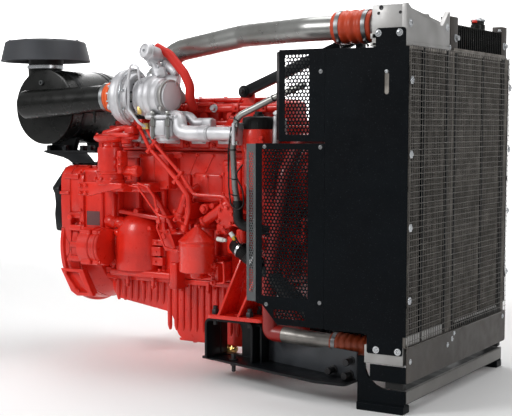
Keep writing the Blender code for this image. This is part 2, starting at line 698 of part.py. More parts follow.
def turbo_rotor():
    """One shaft with the compressor wheel at the back and the turbine wheel at the front."""
    profile = [(0, -0.090), (0.030, -0.094), (0.042, -0.120), (0.042, -0.126), (0.010, -0.128), (0.010, -0.250)]
    profile += [(0.043, -0.254), (0.043, -0.260), (0.026, -0.290), (0.014, -0.318), (0, -0.320)]
    return turned("turbo_rotor", (0, TURBO_Y, TURBO_Z), "X", profile, 16)


WASTEGATE = Matrix.Translation((-0.128, TURBO_Y, 1.268)) @ Matrix.Rotation(math.radians(-33.4), 4, "Y")


def wastegate_actuator():
    """The pressure can that leans back over the turbine, on its strap, with a bore for the rod."""
    can = drum("wastegate_actuator", (0, 0, 0.035), "Z", 0.075, 0.029)
    strap = box("wastegate_strap", (-0.010, 0.014, -0.015), (0.010, 0.024, 0.050))
    bore = drum("wastegate_bore", (0, 0, 0.0), "Z", 0.095, 0.008, 12)
    for piece in (can, strap, bore):
        piece.matrix_world = WASTEGATE @ piece.matrix_world
    join(can, strap)
    return cut(can, bore)


def wastegate_rod():
    rod = drum("wastegate_rod", (0, 0, 0.004), "Z", 0.071, 0.006, 12)
    rod.matrix_world = WASTEGATE @ rod.matrix_world
    return rod


# --- air intake ---------------------------------------------------------------


def air_cleaner_body():
    """The drum with its outlet in the near end and its inlet neck standing at a tangent."""
    drum_body = drum("air_cleaner_body", (CLEANER_X, -0.250, CLEANER_Z), "Y", 0.440, CLEANER_R, 32)
    rim = drum("cleaner_rim", (CLEANER_X, 0.165, CLEANER_Z), "Y", 0.020, CLEANER_R + 0.006, 32)
    neck = drum("cleaner_neck", (INLET_X, INLET_Y, CLEANER_Z), "Z", 0.195, 0.080, 24)
    hollow = drum("cleaner_hollow", (CLEANER_X, -0.246, CLEANER_Z), "Y", 0.432, CLEANER_R - 0.004, 32)
    outlet = drum("cleaner_outlet", (CLEANER_X, -0.3, CLEANER_Z + 0.014), "Y", 0.1, 0.048)
    bore = drum("neck_bore", (INLET_X, INLET_Y, CLEANER_Z + 0.02), "Z", 0.3, 0.0745, 24)
    join(drum_body, rim, neck)
    return cut(drum_body, hollow, outlet, bore)


def air_duct():
    """The pipe from the air cleaner's end to the turbocharger, which rises a little towards it."""
    profile = [(0.0525, 0), (0.0535, -0.030), (0.065, -0.430), (0.060, -0.460), (0.040, -0.478), (0, -0.484)]
    profile += [(0, -0.440), (0.048, -0.420), (0.047, 0)]
    duct = turned("air_duct", (DUCT_END_X, TURBO_Y, TURBO_Z), "X", profile)
    rise = Matrix.Rotation(math.radians(-2.4), 4, "Y")
    duct.matrix_world = Matrix.Translation((DUCT_END_X, TURBO_Y, TURBO_Z)) @ rise @ AXES["X"]
    joint = drum("duct_joint", (CLEANER_X, -0.2505, CLEANER_Z + 0.014), "Y", -0.050, 0.050)
    return join(duct, joint)


def rain_cap():
    """A hat over the inlet, on a sleeve with four vanes."""
    at = (INLET_X, INLET_Y, 0)
    profile = [(0, 1.452), (0.060, 1.452), (0.170, 1.446), (0.178, 1.436), (0.198, 1.346), (0.194, 1.344)]
    profile += [(0.174, 1.430), (0.166, 1.440), (0, 1.446)]
    hat = turned("rain_cap", at, "Z", profile, 28)
    sleeve_profile = [(0.088, 1.385), (0.088, 1.302), (0.0815, 1.302), (0.0815, 1.385)]
    sleeve = turned("cap_sleeve", at, "Z", sleeve_profile, 24)
    vanes = []
    for number in range(4):
        vane = box(f"cap_vane_{number}", (0.084, -0.0015, 1.345), (0.180, 0.0015, 1.443))
        turn = Matrix.Rotation(math.radians(45 + 90 * number), 4, "Z")
        vane.matrix_world = Matrix.Translation(at) @ turn @ vane.matrix_world
        vanes.append(vane)
    return join(hat, sleeve, *vanes)


def air_cleaner_bracket():
    """A shelf under the drum on two curved uprights, bolted to the top of the gear case."""
    shelf = box("air_cleaner_bracket", (-0.930, -0.215, 0.925), (-0.560, 0.150, 0.932))
    uprights = []
    for side, near in (("near", -0.190), ("far", 0.110)):
        outline = [(-0.920, 0.927), (-0.920, 0.918)] + arc((-0.860, 0.790), 0.128, 85, 10, 6)
        outline += [(-0.720, 0.8725), (-0.560, 0.8725), (-0.560, 0.927)]
        uprights.append(plate(f"bracket_upright_{side}", "Y", near, near + 0.008, outline))
    base = box("bracket_base", (-0.716, -0.190, 0.8685), (-0.540, 0.118, 0.8765))
    saddles = []
    for near in (-0.190, 0.060):
        saddles.append(box("bracket_saddle", (-0.870, near, 0.928), (-0.790, near + 0.030, 0.9570)))
    return join(shelf, *uprights, base, *saddles)


def hose(name, axis_at, axis, start, length, inner, outer, beads):
    """A rubber sleeve with round beads along it. Its inside is open at both ends."""
    profile = []
    steps = 2 * beads
    for step in range(steps + 1):
        along = start + length * (1 - step / steps)
        profile.append((outer if step % 2 else outer - 0.003, along))
    profile += [(inner, start), (inner, start + length)]
    return turned(name, axis_at, axis, profile, 16)


# --- pipes and small units ----------------------------------------------------


def charge_pipe():
    corners = [(-0.2250, -0.2050, 1.2405), (-0.1550, -0.1700, 1.3600), (0.250, -0.250, CHARGE_Z)]
    corners += [(0.640, CHARGE_Y, CHARGE_Z), (0.800, CHARGE_Y, CHARGE_Z)]
    return pipe("charge_pipe", corners, CHARGE_R - 0.001, 0.16, 3, 3)


def return_pipe():
    corners = [(0.850, RETURN_Y, RETURN_Z), (0.780, RETURN_Y, RETURN_Z), (0.480, RETURN_Y, 0.192)]
    corners += [(0.462, -0.345, 0.420), (0.480, -0.300, 0.860), (0.480, -0.200, 0.980), (0.480, 0.283, 0.980)]
    corners.append((0.4055, 0.283, 0.980))
    return pipe("return_pipe", corners, RETURN_R, 0.07)


def coolant_pipe():
    """The grey pipe that comes over from the radiator and drops beside the engine into a black hose."""
    corners = [(0.560, -0.360, 1.190), (0.282, -0.394, 1.072), (0.282, -0.394, 0.980), (0.312, -0.385, 0.730)]
    corners += [(0.330, -0.385, 0.590), (0.330, -0.211, 0.590)]
    return pipe("coolant_pipe", corners, 0.0165, 0.05)


def stay_bar():
    """A square bar from the lifting eye on the engine up to the shroud."""
    start, end = Vector((0.221, -0.215, 1.183)), Vector((0.775, -0.215, 1.392))
    run = end - start
    bar = box("stay_bar", (0, -0.018, -0.018), (run.length - 0.02, 0.018, 0.018), 0.003)
    tilt = Matrix.Rotation(-math.atan2(run.z, run.x), 4, "Y")
    bar.matrix_world = Matrix.Translation(start) @ tilt @ bar.matrix_world
    end_eye = drum("stay_eye", (0.221, -0.238, 1.183), "Y", 0.046, 0.024)
    lug = plate("stay_lug", "Y", -0.1745, -0.1665, [(0.130, 1.060), (0.250, 1.060), (0.235, 1.200), (0.205, 1.200)])
    pin = drum("stay_pin", (0.221, -0.238, 1.183), "Y", 0.070, 0.009)
    return join(bar, end_eye, pin, lug)


CLEANER_AT = (0.098, -0.370)  # centrifugal oil cleaner axis


def oil_cleaner():
    """The centrifugal oil cleaner: a canister with a conical top, hollow, on an arm from the block."""
    profile = [(0.006, 0.632), (0.010, 0.628), (0.073, 0.574), (0.0745, 0.568), (0.0745, 0.452), (0.068, 0.440)]
    profile += [(0.024, 0.436), (0.024, 0.444), (0.066, 0.448), (0.068, 0.566), (0.006, 0.618)]
    can = turned("oil_cleaner", (*CLEANER_AT, 0), "Z", profile, 24)
    arm = box("cleaner_arm", (0.040, -0.2985, 0.455), (0.156, -0.2115, 0.500))
    return join(can, arm)


def oil_cleaner_rotor():
    profile = [(0, 0.580), (0.012, 0.578), (0.050, 0.555), (0.058, 0.545), (0.058, 0.468), (0.012, 0.462), (0, 0.462)]
    return turned("oil_cleaner_rotor", (*CLEANER_AT, 0), "Z", profile, 16)


def breather_can():
    """The crankcase breather: an upright can with a flanged top, on its cast base."""
    profile = [(0, 1.006), (0.074, 1.006), (0.076, 0.998), (0.074, 0.988), (0.046, 0.984), (0.044, 0.968)]
    profile += [(0.053, 0.960), (0.054, 0.840), (0.060, 0.832), (0.060, 0.800), (0, 0.790)]
    can = turned("breather_can", (-0.365, -0.360, 0), "Z", profile, 24)
    base = box("breather_base", (-0.495, -0.400, 0.762), (-0.130, -0.2105, 0.802), 0.008)
    valve = drum("breather_valve", (-0.320, -0.350, 0.858), "X", 0.085, 0.022, 16)
    return join(can, base, valve)


def fuel_filter():
    profile = [(0, 1.098), (0.020, 1.098), (0.020, 1.082), (0.060, 1.080), (0.066, 1.072), (0.066, 1.034)]
    profile += [(0.070, 1.032), (0.070, 0.800), (0.060, 0.785), (0, 0.785)]
    return turned("fuel_filter", (0.374, -0.2835, 0), "Z", profile, 24)


def oil_cooler_cover():
    return box("oil_cooler_cover", (-0.115, -0.278, 0.660), (0.270, -0.2105, 0.925), 0.012)


def starter_motor():
    """The starter on the far side, nosed into the flywheel housing's front."""
    profile = [(0, -0.180), (0.046, -0.185), (0.056, -0.200), (0.056, -0.400), (0.050, -0.420), (0.050, -0.4995)]
    profile += [(0, -0.4995)]
    body = turned("starter_motor", (0, 0.275, 0.470), "X", profile)
    solenoid = drum("starter_solenoid", (-0.420, 0.275, 0.545), "X", 0.150, 0.030, 20)
    return join(body, solenoid)


# --- the unit -----------------------------------------------------------------

paint("black_paint", base_rail("rail_right", -1), base_rail("rail_left", 1), front_cross_member())
paint("red_paint", engine_foot("engine_foot_right", -1), engine_foot("engine_foot_left", 1))
paint("core_metal", cooler_core("charge_cooler_core", -0.5165, -0.100), cooler_core("radiator_core", -0.080, 0.500))
paint("bare_aluminium", charge_top_tank(), charge_bottom_tank())
paint("black_paint", radiator_top_tank(), box("radiator_bottom_tank", (0.950, -0.080, 0.180), (1.092, 0.500, 0.2465), 0.004))
paint("dark_steel", radiator_cap(), lower_cover_plate(), front_grille())
paint("black_paint", side_panel("side_panel_right", -1), side_panel("side_panel_left", 1), fan_shroud(), *guards())
paint("black_plastic", fan())
paint("red_paint", fan_hub(), coolant_pump(), crank_pulley(), tensioner_arm(), tensioner_roller())
paint("black_rubber", drive_belt())
paint("bare_aluminium", alternator(), alternator_rotor())
paint("red_paint", cylinder_block(), flywheel_housing(), oil_sump(), cylinder_head(), valve_cover())
paint("dark_steel", crankshaft(), flywheel())
paint("red_paint", intake_manifold())
paint("bare_aluminium", exhaust_manifold(), compressor_housing(), turbine_housing(), turbo_rotor())
paint("bare_aluminium", wastegate_actuator(), wastegate_rod())
paint("black_plastic", air_cleaner_body(), air_duct(), rain_cap())
paint("black_paint", air_cleaner_bracket())
paint("orange_rubber", hose("intake_hose", (0, TURBO_Y, TURBO_Z), "X", -0.460, 0.110, 0.0573, 0.063, 2))
paint("zinc_steel", charge_pipe(), return_pipe(), coolant_pipe())
paint("orange_rubber", hose("charge_hose", (0, CHARGE_Y, CHARGE_Z), "X", 0.755, 0.160, 0.0500, 0.062, 3))
paint("orange_rubber", hose("return_hose", (0, RETURN_Y, RETURN_Z), "X", 0.790, 0.135, 0.0300, 0.039, 3))
paint("black_paint", stay_bar())
paint("red_paint", oil_cleaner(), oil_cleaner_rotor(), breather_can(), fuel_filter(), oil_cooler_cover())
paint("black_paint", starter_motor())
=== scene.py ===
"""Looks of a diesel power unit for a fire pump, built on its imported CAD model. Everything is in metres.

+X runs from the flywheel to the radiator, +Z is up, and -Y is the turbocharger side.
"""

import math

import bmesh
import bpy
from mathutils import Matrix, Vector


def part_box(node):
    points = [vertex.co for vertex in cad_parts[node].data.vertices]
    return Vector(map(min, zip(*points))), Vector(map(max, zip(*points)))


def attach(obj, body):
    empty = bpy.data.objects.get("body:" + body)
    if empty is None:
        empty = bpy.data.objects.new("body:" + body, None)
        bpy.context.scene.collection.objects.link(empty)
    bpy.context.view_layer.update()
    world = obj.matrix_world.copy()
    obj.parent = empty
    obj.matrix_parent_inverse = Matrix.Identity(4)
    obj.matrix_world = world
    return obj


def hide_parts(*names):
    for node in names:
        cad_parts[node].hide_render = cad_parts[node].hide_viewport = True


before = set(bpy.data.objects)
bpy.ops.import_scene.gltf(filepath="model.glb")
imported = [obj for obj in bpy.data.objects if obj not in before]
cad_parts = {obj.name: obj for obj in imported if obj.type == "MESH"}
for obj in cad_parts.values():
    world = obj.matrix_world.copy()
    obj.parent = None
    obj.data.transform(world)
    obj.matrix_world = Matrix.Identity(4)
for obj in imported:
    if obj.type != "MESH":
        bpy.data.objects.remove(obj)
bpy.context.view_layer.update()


# --- camera, floor and light --------------------------------------------------


def add_camera():
    """The view of the front right corner, from a little above the middle."""
    data = bpy.data.cameras.new("camera")
    data.lens = 82.0
    data.sensor_width = 36.0
    data.shift_y = 0.063
    data.clip_end = 100.0
    camera = bpy.data.objects.new("camera", data)
    camera.location = (2.796, -4.325, 1.042)
    camera.rotation_euler = (math.radians(90 - 5.583), 0, math.radians(31.39))
    bpy.context.scene.collection.objects.link(camera)
    bpy.context.scene.camera = camera


def add_lamp(name, at, aim, size, power, colour=(1, 1, 1)):
    """A square soft box at one point, turned to another."""
    data = bpy.data.lights.new(name, "AREA")
    data.shape = "RECTANGLE"
    data.size, data.size_y = size
    data.energy = power
    data.color = colour
    lamp = bpy.data.objects.new(name, data)
    lamp.location = at
    lamp.rotation_euler = (Vector(aim) - Vector(at)).to_track_quat("-Z", "Y").to_euler()
    lamp.visible_camera = False
    bpy.context.scene.collection.objects.link(lamp)


def add_studio():
    """A pale floor that curves up into a wall behind the unit, soft boxes around it and a pale sky.

    The wall can be seen through from its back, so that the unit shows from every side."""
    floor = Piece("studio_floor")
    profile = [(-9.0, 0.0)]
    profile += [(5.0 + 2.0 * math.sin(math.radians(a)),
                 2.0 - 2.0 * math.cos(math.radians(a))) for a in range(0, 91, 6)]
    profile.append((7.0, 9.0))
    rows = []
    for across in (-12.0, 12.0):
        rows.append([floor.mesh.verts.new((across, along, up)) for along, up in profile])
    for low, high in zip(range(len(profile) - 1), range(1, len(profile))):
        floor.mesh.faces.new((rows[0][low], rows[1][low], rows[1][high], rows[0][high]))
    turn = Matrix.Rotation(math.radians(31.39), 4, "Z")
    floor.mesh.transform(turn)
    material = bpy.data.materials.new("studio_paper")
    material.use_nodes = True
    shader = material.node_tree.nodes["Principled BSDF"]
    shader.inputs["Base Color"].default_value = (0.93, 0.93, 0.93, 1)
    shader.inputs["Roughness"].default_value = 0.9
    shader.inputs["Specular IOR Level"].default_value = 0.1
    nodes, links = material.node_tree.nodes, material.node_tree.links
    one_way = nodes.new("ShaderNodeMixShader")
    links.new(nodes.new("ShaderNodeNewGeometry").outputs["Backfacing"], one_way.inputs["Fac"])
    links.new(shader.outputs["BSDF"], one_way.inputs[1])
    links.new(nodes.new("ShaderNodeBsdfTransparent").outputs["BSDF"], one_way.inputs[2])
    links.new(one_way.outputs["Shader"], nodes["Material Output"].inputs["Surface"])
    floor.make(material)
    world = bpy.data.worlds.new("sky")
    world.use_nodes = True
    world.node_tree.nodes["Background"].inputs["Color"].default_value = (1, 1, 1, 1)
    world.node_tree.nodes["Background"].inputs["Strength"].default_value = 0.40
    bpy.context.scene.world = world
    add_lamp("key", (-2.2, -4.2, 3.4), (0, 0, 0.7), (1.6, 1.6), 120)
    add_lamp("side", (4.4, -1.6, 2.2), (0.8, 0, 0.8), (1.2, 2.4), 30)
    add_lamp("top", (0.2, 0.4, 4.2), (0.1, 0, 0.8), (3.0, 1.6), 70)
    add_lamp("wall", (-3.4, 4.0, 3.6), (-3.0, 7.0, 2.2), (6.0, 3.0), 420)
    bpy.context.scene.view_settings.view_transform = "Standard"


# --- materials ----------------------------------------------------------------


def surface(name, colour, shade, rough, metal=0.0, coat=0.0, specular=0.5, grain=260.0, depth=0.0002,
            patches=5.0, spread=0.08, worn=None, wear=0.5, edge=0.0015, dust=None):
    """A finish with uneven colour and gloss, a fine grain, rounded edges, and wear along them.

    colour and shade are the two ends of the colour, grain is how many grains a metre has, depth is how deep
    they are, spread is how much the roughness wanders, and worn is the colour that shows on rubbed edges."""
    material = bpy.data.materials.new(name)
    material.use_nodes = True
    nodes, links = material.node_tree.nodes, material.node_tree.links
    shader = nodes["Principled BSDF"]
    shader.inputs["Metallic"].default_value = metal
    shader.inputs["Coat Weight"].default_value = coat
    shader.inputs["Coat Roughness"].default_value = 0.16
    shader.inputs["Specular IOR Level"].default_value = specular
    place = nodes.new("ShaderNodeTexCoord").outputs["Object"]

    def noise(scale, detail):
        node = nodes.new("ShaderNodeTexNoise")
        node.inputs["Scale"].default_value = scale
        node.inputs["Detail"].default_value = detail
        links.new(place, node.inputs["Vector"])
        return node.outputs["Fac"]

    def remap(value, low, high, to_low, to_high):
        node = nodes.new("ShaderNodeMapRange")
        links.new(value, node.inputs["Value"])
        for key, number in zip(("From Min", "From Max", "To Min", "To Max"), (low, high, to_low, to_high)):
            node.inputs[key].default_value = number
        return node.outputs["Result"]

    def mixed(factor, first, second):
        node = nodes.new("ShaderNodeMix")
        node.data_type = "RGBA"
        links.new(factor, node.inputs[0])
        for socket, value in ((node.inputs[6], first), (node.inputs[7], second)):
            if isinstance(value, tuple):
                socket.default_value = (*value, 1)
            else:
                links.new(value, socket)
        return node.outputs[2]

    base = mixed(remap(noise(patches, 4.0), 0.35, 0.65, 0, 1), shade, colour)
    if dust:
        base = mixed(remap(noise(grain * 1.7, 2.0), 0.66, 0.74, 0, 0.8), base, dust)
    rounded = nodes.new("ShaderNodeBevel")
    rounded.samples = 4
    rounded.inputs["Radius"].default_value = edge
    if worn:
        facing_out = nodes.new("ShaderNodeVectorMath")
        facing_out.operation = "DOT_PRODUCT"
        links.new(rounded.outputs["Normal"], facing_out.inputs[0])
        links.new(nodes.new("ShaderNodeNewGeometry").outputs["Normal"], facing_out.inputs[1])
        rubbed = nodes.new("ShaderNodeMath")
        rubbed.operation = "MULTIPLY"
        links.new(remap(facing_out.outputs["Value"], 0.99, 0.86, 0, wear), rubbed.inputs[0])
        links.new(remap(noise(38.0, 3.0), 0.42, 0.58, 0, 1), rubbed.inputs[1])
        base = mixed(rubbed.outputs[0], base, worn)
    links.new(base, shader.inputs["Base Color"])
    links.new(remap(noise(patches * 4, 3.0), 0.3, 0.7, rough - spread, rough + spread),
              shader.inputs["Roughness"])
    bump = nodes.new("ShaderNodeBump")
    bump.inputs["Strength"].default_value = 0.6
    bump.inputs["Distance"].default_value = depth
    links.new(noise(grain, 3.0), bump.inputs["Height"])
    links.new(rounded.outputs["Normal"], bump.inputs["Normal"])
    links.new(bump.outputs["Normal"], shader.inputs["Normal"])
    return material


RED = surface("red_gloss_paint", (0.80, 0.026, 0.011), (0.66, 0.018, 0.008), 0.28, coat=0.42, specular=0.40,
              grain=90, depth=0.0004, worn=(0.92, 0.075, 0.035), wear=0.7, patches=7)
RED_CAST = surface("red_paint_on_castings", (0.76, 0.023, 0.010), (0.58, 0.015, 0.007), 0.34, coat=0.36,
                   specular=0.36, grain=150, depth=0.0011, worn=(0.90, 0.070, 0.034), wear=0.8, patches=9,
                   edge=0.003)
# Painted shade: the engine's red paint darkened for the shade the return pipe lies in, under the foot and
# behind the guard.
RED_PAINTED_SHADE = surface("red_paint_in_shade", (0.34, 0.012, 0.008), (0.22, 0.008, 0.006), 0.40, coat=0.15,
                   grain=150)
RED_MATT = surface("matt_red_rubber", (0.66, 0.024, 0.014), (0.50, 0.016, 0.010), 0.60, specular=0.3,
                   grain=420)
BLACK = surface("black_powder_coat", (0.0050, 0.0065, 0.0080), (0.0034, 0.0042, 0.0055), 0.36, specular=0.22,
                grain=700, depth=0.00025, worn=(0.045, 0.050, 0.052), wear=0.6)
PANEL = surface("dusty_black_powder_coat", (0.0024, 0.0040, 0.0056), (0.0018, 0.0028, 0.0040), 0.44,
                specular=0.07, grain=160, depth=0.00012, worn=(0.030, 0.035, 0.040),
                dust=(0.030, 0.035, 0.040))
MOULDED = surface("black_moulded_plastic", (0.0050, 0.0054, 0.0048), (0.0030, 0.0033, 0.0030), 0.30,
                  specular=0.26, grain=500, depth=0.0002, worn=(0.022, 0.023, 0.022))
WEATHERED = surface("weathered_black_plastic", (0.0480, 0.0510, 0.0580), (0.0300, 0.0320, 0.0360), 0.56,
                    specular=0.30, grain=400, depth=0.0003, worn=(0.045, 0.046, 0.048))
# A grey on black parts; on the near folded guard strip it is a painted highlight where the edge catches the
# light.
GREY_COAT_AND_HIGHLIGHT = surface("grey_coat_and_painted_highlight", (0.090, 0.097, 0.100), (0.062, 0.068, 0.072), 0.45, grain=500)
CAST = surface("cast_aluminium", (0.70, 0.70, 0.72), (0.48, 0.48, 0.50), 0.50, metal=0.55, grain=420,
               depth=0.0006, worn=(0.80, 0.80, 0.80), patches=14, edge=0.002)
MACHINED = surface("machined_aluminium", (0.47, 0.465, 0.46), (0.34, 0.335, 0.325), 0.52, metal=0.7, grain=60,
                   depth=0.0002, patches=9)
TUBE = surface("aluminised_tube", (0.34, 0.345, 0.335), (0.25, 0.25, 0.235), 0.30, metal=0.85, grain=60,
               depth=0.00002, patches=5, spread=0.05)
GALVANISED = surface("galvanised_pipe", (0.30, 0.285, 0.265), (0.17, 0.16, 0.148), 0.42, metal=0.7, grain=80,
                     depth=0.0001, patches=14, spread=0.1)
ZINC = surface("zinc_plate", (0.66, 0.68, 0.70), (0.50, 0.52, 0.54), 0.28, metal=0.95, grain=300,
               depth=0.0001)
DULL_ZINC = surface("dull_zinc", (0.30, 0.31, 0.32), (0.20, 0.205, 0.21), 0.36, metal=0.9, grain=300,
                    depth=0.0001)
DARK_STEEL = surface("oiled_dark_steel", (0.040, 0.040, 0.042), (0.024, 0.024, 0.026), 0.40, metal=0.6,
                     grain=300,
                     worn=(0.20, 0.20, 0.20))
ORANGE = surface("orange_silicone", (0.84, 0.130, 0.028), (0.68, 0.085, 0.018), 0.42, specular=0.35,
                 grain=600,
                 depth=0.0001)
BURNT_ORANGE = surface("deep_orange_silicone", (0.66, 0.072, 0.020), (0.46, 0.046, 0.013), 0.42,
                       specular=0.35, grain=600)
RUST_ORANGE = surface("brown_orange_silicone", (0.42, 0.070, 0.018), (0.28, 0.042, 0.012), 0.42, grain=600)
RUBBER = surface("black_rubber", (0.0095, 0.0098, 0.0100), (0.0062, 0.0064, 0.0066), 0.50, specular=0.30,
                 grain=700)
CORE = surface("cooler_core_aluminium", (0.330, 0.305, 0.275), (0.150, 0.137, 0.122), 0.50, metal=0.35,
               grain=500, patches=18, edge=0.0006)
# Near-black fins, darker than the aluminium tubes: painted shade deep between the tubes.
FIN_PAINTED_SHADE = surface("cooler_fins_painted_shade", (0.013, 0.012, 0.011), (0.006, 0.0055, 0.005), 0.60, metal=0.3, grain=900,
              patches=24, edge=0.0003)
WIRE = surface("mesh_wire", (0.190, 0.180, 0.165), (0.110, 0.103, 0.094), 0.45, metal=0.5, grain=900,
               patches=20, edge=0.0003)
# A grey for the front beam's face and lip: painted light on the black beam, where the light falls on them.
BEAM_PAINTED_LIGHT = surface("grey_primer", (0.190, 0.183, 0.172), (0.120, 0.115, 0.108), 0.50, grain=300,
               worn=(0.28, 0.27, 0.25))
COVER = surface("brown_grey_primer", (0.066, 0.056, 0.049), (0.042, 0.036, 0.032), 0.48, specular=0.35,
                grain=300,
                worn=(0.14, 0.125, 0.11))
# The rail's upright web is a lighter blue grey than the black rail: painted light on the face the light falls
# on.
WEB_PAINTED_LIGHT = surface("rail_web_painted_light", (0.050, 0.056, 0.064), (0.032, 0.036, 0.042), 0.50, grain=260, patches=8)
BRASS = surface("brass", (0.62, 0.44, 0.16), (0.48, 0.32, 0.10), 0.28, metal=0.9, grain=200)
PALE = surface("pale_plastic", (0.72, 0.72, 0.68), (0.58, 0.58, 0.55), 0.40, grain=300)
BLANK = surface("grey_transit_cover", (0.58, 0.53, 0.55), (0.47, 0.43, 0.45), 0.50, grain=300)
YELLOW = surface("yellow_plastic", (0.62, 0.40, 0.03), (0.50, 0.32, 0.02), 0.40, grain=300)
PLATE = surface("dark_foil", (0.22, 0.090, 0.090), (0.15, 0.062, 0.064), 0.35, metal=0.4, grain=90)


# --- shapes -------------------------------------------------------------------


def towards(axis):
    """The turn that takes +Z to an axis or a direction."""
    named = {"X": (1, 0, 0), "Y": (0, 1, 0), "Z": (0, 0, 1), "-X": (-1, 0, 0), "-Y": (0, -1, 0),
             "-Z": (0, 0, -1)}
    aim = Vector(named[axis] if isinstance(axis, str) else axis)
    return aim.to_track_quat("Z", "Y").to_matrix().to_4x4()


def arc(centre, radius, start, end, steps):
    """Points along an arc, with its angles in degrees."""
    points = []
    for step in range(steps + 1):
        angle = math.radians(start + (end - start) * step / steps)
        points.append((centre[0] + radius * math.cos(angle), centre[1] + radius * math.sin(angle)))
    return points


def rectangle(low, high):
    return [(low[0], low[1]), (high[0], low[1]), (high[0], high[1]), (low[0], high[1])]


def rounded(low, high, radius, steps=4):
    """A rectangle with round corners."""
    corners = [(high[0] - radius, low[1] + radius, 270), (high[0] - radius, high[1] - radius, 0)]
    corners += [(low[0] + radius, high[1] - radius, 90), (low[0] + radius, low[1] + radius, 180)]
    points = []
    for u, v, start in corners:
        points += arc((u, v), radius, start, start + 90, steps)
    return points


def bent(corners, bend, steps=6):
    """The route through the corners, with each inner corner turned into an arc of the given radius."""
    corners = [Vector(c) for c in corners]
    route = [corners[0]]
    for before, corner, after in zip(corners, corners[1:], corners[2:]):
        back, forth = (before - corner).normalized(), (after - corner).normalized()
        half = back.angle(forth) / 2
        if half > math.radians(88):
            route.append(corner)
            continue
        reach = min(bend / math.tan(half), 0.49 * min((before - corner).length, (after - corner).length))
        radius = reach * math.tan(half)
        centre = corner + (back + forth).normalized() * (radius / math.sin(half))
        first, last = corner + back * reach - centre, corner + forth * reach - centre
        for step in range(steps + 1):
            route.append(centre + first.slerp(last, step / steps) * radius)
    route.append(corners[-1])
    return route


PLANES = {
    "X": Matrix(((0, 0, 1, 0), (1, 0, 0, 0), (0, 1, 0, 0), (0, 0, 0, 1))),
    "Y": Matrix(((1, 0, 0, 0), (0, 0, 1, 0), (0, 1, 0, 0), (0, 0, 0, 1))),
    "Z": Matrix.Identity(4),
}


